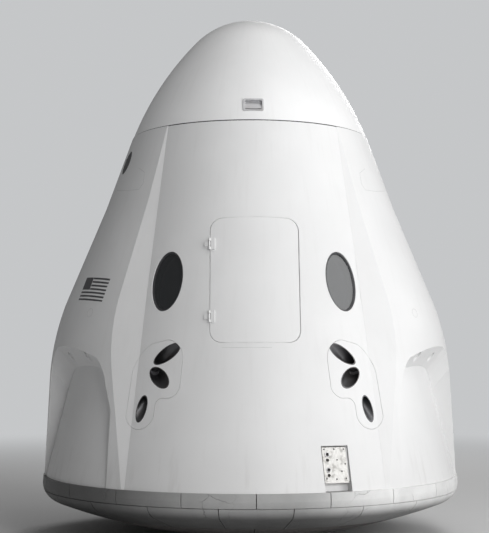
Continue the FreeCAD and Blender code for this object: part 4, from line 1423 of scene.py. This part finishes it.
@dataclass
class WindowTrim:
    """The gaskets between the panes and their frames."""

    azimuth: float = 30.2
    height: float = 2.36
    half_width: float = 0.141
    half_length: float = 0.259
    sink: float = 0.0205
    gasket: float = 0.008
    points: int = 72

    def build(self) -> None:
        """Make both gaskets."""
        for side in Side:
            face = CONE.face(side.value * self.azimuth, self.height)
            line = [face @ Vector((self.half_width * math.cos(turn), self.half_length * math.sin(turn),
                                   -self.sink)) for turn in turns(self.points)]
            settle(bead(line, self.gasket, closed=True), f"window_gasket_{side.name.lower()}", SEAL_BLACK,
                   Body.CAPSULE)


@dataclass(frozen=True)
class Thruster:
    """One control thruster of the front right panel: its mouth in the skin and its throat behind it."""

    azimuth: float
    # of the mouth over the rim
    rise: float
    # radius at the inner end
    throat: float
    length: float
    # degrees of the axis out of the skin, and of the plume's way across the skin
    graze: float
    turn: float


@dataclass
class ThrusterTrim:
    """What closes each control thruster's throat."""

    rim: float = 0.58
    wall: float = 0.006
    gap: float = 0.0006
    thickness: float = 0.006
    lift: float = 0.0045
    sides: int = 32
    # share of the plate's radius that each inset takes, and its depth in metres
    dish: tuple[Pair, ...] = ((0.12, 0.0), (0.1, 0.004), (0.12, 0.0), (0.3, -0.005), (0.1, -0.003))
    thrusters: tuple[Thruster, ...] = (
        Thruster(27.4, 1.125, 0.041, 0.18, 25.5, 35.0),
        Thruster(29.0, 0.958, 0.043, 0.125, 36.0, -39.0),
        Thruster(32.5, 0.697, 0.034, 0.17, 27.0, -98.0),
    )

    def build(self) -> None:
        """Make the injector plates of all four panels."""
        for quadrant in Quadrant:
            item = joined(*(self.make_plate(thruster) for thruster in self.thrusters))
            side, back = quadrant.value
            stand(item, Matrix.Diagonal((side, -back, 1.0, 1.0)))
            with editing(item):
                face_out()
            settle(item, f"thruster_injectors_{quadrant.suffix}", INJECTOR, Body.CAPSULE)

    def make_plate(self, thruster: Thruster) -> bpy.types.Object:
        """Make a dished plate with an inner orifice at a throat.

        Args:
            thruster: whose throat it is.

        Returns:
            The plate.
        """
        radius = thruster.throat - self.wall - self.gap
        bpy.ops.mesh.primitive_cylinder_add(vertices=self.sides, radius=radius, depth=self.thickness)
        item = bpy.context.object
        with editing(item):
            pick(item)
            inset(*((radius * share, depth) for share, depth in self.dish))
        spot = CONE.face(thruster.azimuth, self.rim + thruster.rise)
        aim = spin(180.0 - thruster.turn, "Z") @ spin(90.0 - thruster.graze, "Y")
        return stand(item, spot @ aim @ shift(0.0, 0.0, self.lift - thruster.length))


@dataclass
class UmbilicalTrim:
    """Collars, sleeves, fasteners and the lip of the umbilical connector plate."""

    node: str = "umbilical_plate"
    socket_count: int = 4
    # numbers of the sockets that have collars
    collar_sockets: tuple[int, ...] = (1, 3)
    collar_width: float = 0.006
    collar_height: float = 0.007
    collar_gap: float = 0.001
    collar_edge: float = 0.0015
    sleeve: float = 0.0012
    sleeve_length: float = 0.012
    sleeve_gap: float = 0.0001
    sleeve_edge: float = 0.0002
    sleeve_sink: float = 0.0004
    sides: int = 40
    # how far beside a socket the plate's face is looked for, and from how far outside
    beside: float = 0.008
    above: float = 0.2
    # across, up, and how far outside the plate, sideways and upwards
    lip: tuple[tuple[float, ...], ...] = (
        (-0.104, 0.143, 0.0, 0.013), (0.104, 0.143, 0.012, 0.013), (0.104, -0.143, 0.012, 0.0))
    lip_steps: int = 12
    lip_width: float = 0.0115
    lip_sink: float = 0.0035
    bolt: SocketBolt = SocketBolt(0.0045, 0.005)
    # across and up the slope from the plate's middle
    bolt_places: tuple[Pair, ...] = (
        (-0.09, -0.12), (0.0, -0.125), (0.09, -0.12), (0.092, 0.0), (0.09, 0.125), (0.0, 0.125),
        (-0.09, 0.125), (0.02, 0.035), (0.055, -0.06))

    def build(self) -> None:
        """Make the plate's trim."""
        mounts = {mount["name"]: mount for mount in frame["record"]["mounts"]}
        sockets = [mounts[f"umbilical_socket_{index + 1}"] for index in range(self.socket_count)]
        out = Vector(sockets[0]["axis"])
        centres = [Vector(socket["pos_m"]) for socket in sockets]
        up = (centres[0] - centres[-1]).normalized()
        across = up.cross(out).normalized()
        radius = sockets[0]["dims"]["r_mm"] / 1000.0
        self.make_rims([basis(centre, across, up, out) for centre in centres], radius)
        low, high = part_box(self.node)
        plate = basis((low + high) / 2, across, up, out)
        self.make_lip(plate)
        self.make_bolts(plate)

    def make_rims(self, sockets: Sequence[Matrix], radius: float) -> None:
        """Make the collars round some sockets and the sleeves in all of them.

        Args:
            sockets: the sockets' places, with Z out of the plate.
            radius: the sockets' radius.
        """
        places = []
        for socket in sockets:
            start = Vector((radius + self.beside, 0.0, self.above))
            point, _ = strike(self.node, socket @ start, -socket.col[2].xyz)
            places.append(socket @ shift(0.0, 0.0, (socket.inverted() @ point).z))
        collar = ring(radius + self.collar_width / 2 + self.collar_gap, self.collar_width,
                      self.collar_height, self.collar_edge, self.sides)
        collars = copies(collar, [places[number - 1] for number in self.collar_sockets])
        settle(collars, "umbilical_collars", BOLT_STEEL, Body.CAPSULE)
        # black sleeves lining the bores; their black also stands in for the shade inside the bores: painted
        # shade
        sleeve = ring(radius - self.sleeve / 2 - self.sleeve_gap, self.sleeve, self.sleeve_length,
                      self.sleeve_edge, self.sides)
        drop = shift(0.0, 0.0, -self.sleeve_length - self.sleeve_sink)
        sleeves = copies(sleeve, [place @ drop for place in places])
        settle(sleeves, "umbilical_sleeves", SEAL_BLACK, Body.CAPSULE)

    def make_lip(self, plate: Matrix) -> None:
        """Make the pale lip that closes the gap over and to the right of the plate.

        Args:
            plate: the plate's middle: X across, Y up the slope, Z outwards.
        """
        across, up, out = (plate.col[index].xyz for index in range(3))
        line = []
        for start, end in zip(self.lip, self.lip[1:]):
            for step in range(self.lip_steps + 1):
                x, y, aside, over = Vector(start).lerp(Vector(end), step / self.lip_steps)
                point, _ = strike(self.node, plate @ Vector((x, y, REACH)), -out)
                line.append(point + across * aside + up * over - out * self.lip_sink)
        settle(bead(line, self.lip_width), "umbilical_lip", SEAL_GREY, Body.CAPSULE)

    def make_bolts(self, plate: Matrix) -> None:
        """Make the plate's fasteners.

        Args:
            plate: the plate's middle: X across, Y up the slope, Z outwards.
        """
        out = plate.col[2].xyz
        spots = [seat(self.node, plate @ Vector((x, y, REACH)), -out) for x, y in self.bolt_places]
        spots = [spot for spot in spots if spot and spot.col[2].xyz.dot(out) > FACING]
        settle(copies(self.bolt.make(), spots), "umbilical_bolts", SEAL_BLACK, Body.CAPSULE)


# ------------------------------------------------------------------ docking end

@dataclass
class DockingTrim:
    """Seals, latches and bolts on the docking port, shown when the nose cone is open."""

    seal_radii: Pair = (0.435, 0.475)
    seal_width: float = 0.012
    seal_height: float = 0.006
    seal_edge: float = 0.0025
    latch_radius: float = 0.588
    latch_count: int = 12
    latch_size: Triple = (0.045, 0.026, 0.03)
    latch_edge: float = 0.004
    latch_lift: float = 0.016
    latch_shoulder: Pair = (0.006, 0.0)
    latch_hook: Triple = (0.0, 0.008, 0.012)
    latch_dish: Pair = (0.004, -0.006)
    # how far the flange's face may lie from its top for a latch to stand on it
    level: float = 0.01
    foot_radius: float = 0.66
    foot_bolts: int = 32
    foot_bolt: SocketBolt = SocketBolt(0.009, 0.01)
    # a height over the bulkhead, from which its face is looked for
    over: float = 4.0

    def build(self) -> None:
        """Make the docking end's trim."""
        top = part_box("docking_adapter")[1].z
        seals = [stand(ring(radius, self.seal_width, self.seal_height, self.seal_edge), shift(0.0, 0.0, top))
                 for radius in self.seal_radii]
        settle(joined(*seals), "docking_seals", SEAL_BLACK, Body.CAPSULE)
        self.make_latches(top)
        self.make_bolts()

    def make_latches(self, top: float) -> None:
        """Make the hook latches round the adapter's flange.

        Args:
            top: height of the flange's face.
        """
        latch = block(self.latch_size, self.latch_edge)
        with editing(latch):
            pick(latch)
            inset(self.latch_shoulder)
            extrude(*self.latch_hook)
            inset(self.latch_dish)
        places = []
        for turn in turns(self.latch_count, 0.5):
            met = strike("docking_adapter", polar(self.latch_radius, turn, top + REACH), -UP)
            if met and abs(met[0].z - top) < self.level:
                places.append(Matrix.Translation(met[0] + UP * self.latch_lift)
                              @ Matrix.Rotation(turn + math.pi / 2, 4, "Z"))
        settle(copies(latch, places), "docking_latches", BOLT_STEEL, Body.CAPSULE)

    def make_bolts(self) -> None:
        """Make the bolts round the adapter's foot on the forward bulkhead."""
        hits = [strike("forward_bulkhead", polar(self.foot_radius, turn, self.over), -UP)
                for turn in turns(self.foot_bolts, 0.5)]
        places = [Matrix.Translation(met[0]) for met in hits if met]
        settle(copies(self.foot_bolt.make(), places), "bulkhead_bolts", BOLT_STEEL, Body.CAPSULE)


@dataclass
class NoseTrim:
    """The nose cone's seal, inner ribs and stringers, and its hinge bolts."""

    seam: float = 0.006
    seal_width: float = 0.022
    seal_sink: float = 0.0072
    seal_points: int = 120
    # how far over the nose cone's foot its outline is read
    foot_rise: float = 0.004
    rib_heights: tuple[float, ...] = (4.02, 4.3, 4.58)
    rib_depth: float = 0.022
    rib_width: float = 0.03
    rib_edge: float = 0.003
    stringers: int = 12
    stringer_width: float = 0.018
    stringer_sink: float = 0.004
    stringer_foot: float = 3.9
    stringer_step: float = 0.1
    stringer_points: int = 9
    bolt: SocketBolt = SocketBolt(0.008, 0.008)
    bolt_inset: float = 0.022
    bolt_rows: int = 5
    # the first row's share of the hinge's height
    bolt_foot: float = 0.1125
    # from how far behind a hinge its face is looked for, and how nearly it has to look back
    bolt_reach: float = 0.5
    bolt_facing: float = 0.5

    def build(self) -> None:
        """Make the nose cone's trim."""
        self.make_seal()
        self.make_ribs()
        self.make_stringers()
        for node, body in (("nose_hinge_arms", Body.NOSE), ("nose_hinge_bracket", Body.CAPSULE)):
            self.make_hinge_bolts(node, body)

    def make_seal(self) -> None:
        """Make the dark rubber seal in the seam under the nose cone, left on the cabin."""
        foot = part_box("nose_cone")[0].z
        skin = Skin("nose_cone")
        line = []
        for index in range(self.seal_points):
            point, normal = skin.touch(360.0 * index / self.seal_points, foot + self.foot_rise)
            level = Vector((normal.x, normal.y, 0.0)).normalized()
            line.append(Vector((point.x, point.y, foot - self.seam)) - level * self.seal_sink)
        settle(bead(line, self.seal_width, closed=True), "nose_seal", SEAL_BLACK, Body.CAPSULE)

    def reach(self, turn: float, z: float) -> float:
        """The radius of the nose cone's inner wall at an angle in radians from +X and a height."""
        return strike("nose_cone", UP * z, polar(1.0, turn))[0].xy.length

    def make_ribs(self) -> None:
        """Make the round ribs inside the nose cone."""
        ribs = []
        for z in self.rib_heights:
            foot = z - self.rib_width / 2
            drift = abs(self.reach(0.0, foot) - self.reach(0.0, z + self.rib_width / 2)) / 2
            radius = self.reach(0.0, z) - self.rib_depth / 2 - drift
            rib = ring(radius, self.rib_depth, self.rib_width, self.rib_edge)
            ribs.append(stand(rib, shift(0.0, 0.0, foot)))
        settle(joined(*ribs), "nose_ribs", DOCK_METAL, Body.NOSE)

    def make_stringers(self) -> None:
        """Make the stringers that run up inside the nose cone."""
        heights = [self.stringer_foot + self.stringer_step * index for index in range(self.stringer_points)]
        lines = []
        for turn in turns(self.stringers, 0.5):
            line = [polar(self.reach(turn, z) - self.stringer_sink, turn, z) for z in heights]
            lines.append(bead(line, self.stringer_width, sides=1))
        settle(joined(*lines), "nose_stringers", DOCK_METAL, Body.NOSE)

    def make_hinge_bolts(self, node: str, body: Body) -> None:
        """Make the bolts on a hinge's outer faces.

        Args:
            node: the arms or the bracket.
            body: the body that it is on.
        """
        low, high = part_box(node)
        places = []
        for row in range(self.bolt_rows):
            z = low.z + (high.z - low.z) * (self.bolt_foot + row / self.bolt_rows)
            for x in (low.x + self.bolt_inset, high.x - self.bolt_inset):
                spot = seat(node, Vector((x, high.y + self.bolt_reach, z)), Vector((0.0, -1.0, 0.0)))
                if spot and spot.col[2].y > self.bolt_facing:
                    places.append(spot)
        settle(copies(self.bolt.make(), places), f"{node}_bolts", BOLT_STEEL, body)


@dataclass
class ForwardHatchTrim:
    """The forward hatch's round window, hand wheel and rim bolts."""

    window_level: float = -0.16
    window_radius: float = 0.085
    # width, height and rounding of the rim round the window
    window_rim: Triple = (0.026, 0.012, 0.003)
    window_sides: int = 64
    pane_gap: float = 0.012
    pane_thickness: float = 0.005
    pane_edge: Pair = (0.004, 0.001)
    pane_sides: int = 48
    bolt: SocketBolt = SocketBolt(0.007, 0.008)
    bolt_radius: float = 0.36
    bolt_count: int = 18
    wheel_level: float = 0.14
    wheel_radius: float = 0.1
    wheel_lift: float = 0.04
    wheel_points: int = 48
    wheel_width: float = 0.014
    spoke_foot: float = 0.034
    spoke_width: float = 0.009
    spokes: int = 3
    hub: SocketBolt = SocketBolt(0.02, 0.04)

    def build(self) -> None:
        """Make the hatch's trim."""
        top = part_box("forward_hatch")[1].z
        window = shift(0.0, self.window_level, top)
        rim = stand(ring(self.window_radius, *self.window_rim, self.window_sides), window)
        bolts = copies(self.bolt.make(), [Matrix.Translation(polar(self.bolt_radius, turn, top))
                                          for turn in turns(self.bolt_count)])
        settle(joined(rim, bolts), "forward_hatch_fittings", BOLT_STEEL, Body.INNER_HATCH)
        self.make_pane(window)
        self.make_wheel(Vector((0.0, self.wheel_level, top)))

    def make_pane(self, window: Matrix) -> None:
        """Make the round window's pane.

        Args:
            window: its place.
        """
        bpy.ops.mesh.primitive_circle_add(vertices=self.pane_sides, radius=self.window_radius - self.pane_gap,
                                          fill_type="NGON")
        pane = bpy.context.object
        with editing(pane):
            pick_all()
            extrude(0.0, 0.0, self.pane_thickness)
            inset(self.pane_edge)
            face_out()
        stand(pane, window)
        settle(pane, "forward_hatch_pane", SCREEN, Body.INNER_HATCH)

    def make_wheel(self, middle: Vector) -> None:
        """Make a three-spoked hand wheel on a short hub.

        Args:
            middle: foot of its hub.
        """
        round_line = [middle + polar(self.wheel_radius, turn, self.wheel_lift)
                      for turn in turns(self.wheel_points)]
        rim = bead(round_line, self.wheel_width, closed=True, sides=3)
        spokes = [bead([middle + UP * self.spoke_foot,
                        middle + polar(self.wheel_radius, turn + math.pi / 2, self.wheel_lift)],
                       self.spoke_width) for turn in turns(self.spokes)]
        hub = stand(self.hub.make(), Matrix.Translation(middle))
        settle(joined(rim, hub, *spokes), "forward_hatch_wheel", HINGE_METAL, Body.INNER_HATCH)


# ------------------------------------------------------------------ cabin

@dataclass
class CouchPads:
    """Sewn pads on the four crew couches."""

    centres: tuple[float, ...] = (-0.9, -0.3, 0.3, 0.9)
    # Y and Z of the couch's top line from the head to the feet, and the channels between them
    profile: tuple[Pair, ...] = ((0.70, 1.690), (-0.01, 1.547), (-0.315, 1.852), (-0.68, 1.612))
    channels: tuple[int, ...] = (6, 3, 3)
    columns: int = 16
    rows_each: int = 6
    width: float = 0.44
    gap: float = 0.012
    lift: float = 0.002
    thickness: float = 0.045
    crown: float = 0.018
    welt: float = 0.010
    channel_depth: float = 0.009
    side_pull: float = 0.012
    # the higher, the squarer the pad falls off at its sides and at its ends
    side_fall: int = 6
    end_fall: int = 10
    fill: float = 0.7
    smooth_angle: float = 80.0

    def build(self) -> None:
        """Make three pads on each couch."""
        for number, centre in enumerate(self.centres, start=1):
            spans = zip(self.profile, self.profile[1:], self.channels)
            pad = joined(*(self.make_pad(centre, *span) for span in spans))
            modify(pad, "SUBSURF", levels=1, render_levels=1)
            settle(pad, f"couch_pad_{number}", SEAT_CLOTH, Body.CAPSULE, self.smooth_angle)

    def make_pad(self, centre: float, start: Pair, end: Pair, count: int) -> bpy.types.Object:
        """Make one crowned pad with sewn channels across it.

        Args:
            centre: X of its middle.
            start: Y and Z of one end of its couch line.
            end: the other end.
            count: channels along it.

        Returns:
            The pad.
        """
        foot = Vector((centre, *start))
        along = Vector((centre, *end)) - foot
        length = along.length
        along.normalize()
        out = Vector((1.0, 0.0, 0.0)).cross(along)
        out = out if out.z > 0 else -out
        bpy.ops.mesh.primitive_grid_add(x_subdivisions=self.columns, y_subdivisions=count * self.rows_each,
                                        size=1.0)
        item = bpy.context.object
        with editing(item):
            pick_all()
            extrude(0.0, 0.0, 1.0)
            face_out()
        for vertex in item.data.vertices:
            # u runs from -1 to 1 across the pad, and v from 0 to 1 along it
            u, v, on_top = vertex.co.x * 2, vertex.co.y + 0.5, vertex.co.z > 0.5
            pull = 1 - self.side_pull * math.cos(math.pi * u / 2)
            height = self.height(u, v, count) if on_top else self.lift
            vertex.co = (foot + Vector((u * self.width / 2 * pull, 0.0, 0.0)) + out * height
                         + along * (self.gap + v * (length - 2 * self.gap)))
        return item

    def height(self, u: float, v: float, count: int) -> float:
        """Work out how high a pad's top is over the couch.

        Args:
            u: across the pad, from -1 to 1.
            v: along the pad, from 0 to 1.
            count: channels along it.

        Returns:
            The height.
        """
        edge = max(0.0, 1 - abs(u) ** self.side_fall) * max(0.0, 1 - abs(2 * v - 1) ** self.end_fall)
        sewn = abs(math.sin(math.pi * v * count)) ** 0.5
        crowned = (self.thickness + self.crown * (1 - u * u)) * edge ** 0.5
        return self.lift + crowned - self.channel_depth * (1 - sewn) * edge + self.welt * (1 - edge)


@dataclass
class ConsoleTrim:
    """Screens and their bezels on the display console."""

    screen_size: Pair = (0.36, 0.24)
    columns: Triple = (-0.4, 0.0, 0.4)
    height: float = 2.22
    # a Y between the crew and the console, from which its face is looked for
    before: float = 0.2
    bezel_depth: float = 0.014
    bezel_edge: float = 0.004
    bezel_lift: float = 0.0075
    bezel_rim: tuple[Pair, ...] = ((0.012, 0.0), (0.003, -0.004))
    pane_gap: float = 0.034
    pane_depth: float = 0.002
    pane_edge: float = 0.0008
    pane_lift: float = 0.0118

    def build(self) -> None:
        """Make the console's trim."""
        bezels, panes = [], []
        width, height = self.screen_size
        for x in self.columns:
            point, out = strike("display_console", Vector((x, self.before, self.height)),
                                Vector((0.0, -1.0, 0.0)))
            across = UP.cross(out).normalized()
            place = basis(point, across, out.cross(across), out)
            bezel = block((width, height, self.bezel_depth), self.bezel_edge)
            with editing(bezel):
                pick(bezel)
                inset(*self.bezel_rim)
            bezels.append(stand(bezel, place @ shift(0.0, 0.0, self.bezel_lift)))
            pane = block((width - self.pane_gap, height - self.pane_gap, self.pane_depth), self.pane_edge, 1)
            panes.append(stand(pane, place @ shift(0.0, 0.0, self.pane_lift)))
        settle(joined(*bezels), "console_bezels", SEAT_SHELL, Body.CAPSULE)
        settle(joined(*panes), "console_screens", SCREEN_GLASS, Body.CAPSULE)


# ------------------------------------------------------------------ studio

@dataclass(frozen=True)
class Softbox:
    """A square lamp that looks at a point; its angles are in degrees and its power in watts."""

    azimuth: float
    elevation: float
    power: float
    width: float = 5.0
    distance: float = 12.0
    target: Triple = (0.0, 0.0, 2.4)

    def build(self, name: str) -> None:
        """Make the lamp.

        Args:
            name: its name.
        """
        lift = math.radians(self.elevation)
        away = outward(self.azimuth) * math.cos(lift) + UP * math.sin(lift)
        bpy.ops.object.light_add(type="AREA", location=Vector(self.target) + away * self.distance)
        lamp = bpy.context.object
        lamp.name = name
        lamp.rotation_euler = away.to_track_quat("Z", "Y").to_euler()
        lamp.data.size = self.width
        lamp.data.energy = self.power


@dataclass
class Studio:
    """Floor, backdrop colour, lamps and the camera."""

    backdrop: Colour = (0.56, 0.57, 0.58)
    floor_colour: Colour = (0.62, 0.62, 0.62)
    floor_size: float = 120.0
    # distances from the capsule between which the floor fades into the backdrop
    fade_ends: Pair = (5.0, 16.0)
    ambient: float = 0.165
    camera_azimuth: float = -1.6
    camera_distance: float = 11.92
    camera_height: float = 1.699
    pitch: float = 4.27
    yaw: float = 0.26
    # focal length and sensor width in millimetres
    lens: float = 81.43
    sensor: float = 36.0
    lamps: dict[str, Softbox] = field(default_factory=lambda: {
        "key": Softbox(35.0, 52.0, 350.0),
        "front": Softbox(20.0, 10.0, 380.0),
        "side": Softbox(55.0, 5.0, 390.0),
        "edge": Softbox(90.0, 20.0, 130.0),
        "window_card": Softbox(63.0, 25.0, 55.0, width=2.4),
        "rear": Softbox(165.0, 30.0, 400.0),
    })

    def build(self) -> None:
        """Make the whole studio."""
        self.make_world()
        self.make_floor()
        for name, lamp in self.lamps.items():
            lamp.build(name)
        self.make_camera()
        bpy.context.scene.view_settings.view_transform = "Standard"

    def make_world(self) -> None:
        """Make plain light from all round, and the backdrop's colour behind."""
        world = bpy.data.worlds.new("studio")
        world.use_nodes = True
        graph = Graph(world.node_tree)
        seen = graph.node("ShaderNodeLightPath", output="Is Camera Ray")
        white = {"Color": (1.0, 1.0, 1.0), "Strength": self.ambient}
        around = graph.node("ShaderNodeBackground", inputs=white)
        behind = graph.node("ShaderNodeBackground", inputs={"Color": self.backdrop, "Strength": 1.0})
        mixed = graph.node("ShaderNodeMixShader", inputs={0: seen, 1: around, 2: behind})
        graph.close(mixed, "ShaderNodeOutputWorld")
        bpy.context.scene.world = world

    def make_floor(self) -> None:
        """Make a wide floor that keeps the shadow and fades into the backdrop."""
        bpy.ops.mesh.primitive_plane_add(size=self.floor_size, location=(0.0, 0.0, 0.0))
        floor = bpy.context.object
        floor.name = "floor"
        made = bpy.data.materials.new("floor")
        made.use_nodes = True
        graph = Graph(made.node_tree)
        far = graph.node("ShaderNodeVectorMath", {"operation": "LENGTH"}, {0: graph.place()}, "Value")
        near = graph.node("ShaderNodeBsdfDiffuse", inputs={"Color": self.floor_colour})
        glow = graph.node("ShaderNodeEmission", inputs={"Color": self.backdrop, "Strength": 1.0})
        fade = far.ease(*self.fade_ends)
        graph.close(graph.node("ShaderNodeMixShader", inputs={0: fade, 1: near, 2: glow}))
        floor.data.materials.append(made)

    def make_camera(self) -> None:
        """Make a long lens a little below the capsule's middle, looking slightly up."""
        spot = outward(self.camera_azimuth) * self.camera_distance + UP * self.camera_height
        tilt = (math.radians(90.0 + self.pitch), 0.0, math.radians(self.camera_azimuth + self.yaw))
        bpy.ops.object.camera_add(location=spot, rotation=tilt)
        camera = bpy.context.object
        camera.data.lens = self.lens
        camera.data.sensor_width = self.sensor
        bpy.context.scene.camera = camera


# ------------------------------------------------------------------ the whole capsule

def dress_frame() -> None:
    """Give every node of the frame its finish."""
    dress(SHELL_PAINT, "cabin_wall_front", "cabin_wall_rear")
    for quadrant in Quadrant:
        dress(SHELL_PAINT, *(f"{part}_{quadrant.suffix}"
                             for part in ("engine_pod", "thruster_panel", "abort_nozzles")))
        dress(NOZZLE, f"thruster_nozzles_{quadrant.suffix}")
    dress(NOSE_PAINT, "nose_cone")
    dress(HATCH_PAINT, "side_hatch", "side_hatch_hinge", "side_hatch_leaves")
    dress(RIM_TILE, "rim_tiles_upper", "rim_tiles_lower")
    dress(BASE_TILE, "base_tiles")
    dress(CARRIER, "heat_shield_carrier")
    dress(NOZZLE, "forward_thrusters")
    dress(GLASS, "window_left", "window_right")
    dress(WINDOW_FRAME, "window_frames", "side_port")
    dress(HINGE_METAL, "nose_hinge_arms", "nose_hinge_bracket", "forward_hatch_hinge", "nose_fitting")
    dress(BAY_PLATE, "umbilical_plate")
    dress(DOCK_METAL, "docking_adapter", "docking_capture_ring", "forward_bulkhead", "forward_hatch")
    dress(SEAT_SHELL, "seats")
    dress(CABIN_TRIM, "cabin_floor", "seat_frame")
    dress(SCREEN, "display_console")
    dress(EQUIPMENT, "service_equipment")


def main() -> None:
    """Build and dress every part in turn."""
    logging.basicConfig(level=logging.INFO, format="%(name)s: %(message)s")
    bpy.ops.object.select_all(action="DESELECT")
    Studio().build()
    dress_frame()
    for assembly in (CabinShell, HatchTrim, WindowTrim, ThrusterTrim, UmbilicalTrim, DockingTrim, NoseTrim,
                     ForwardHatchTrim, CouchPads, ConsoleTrim):
        assembly().build()


if __name__ == "__main__":
    main()
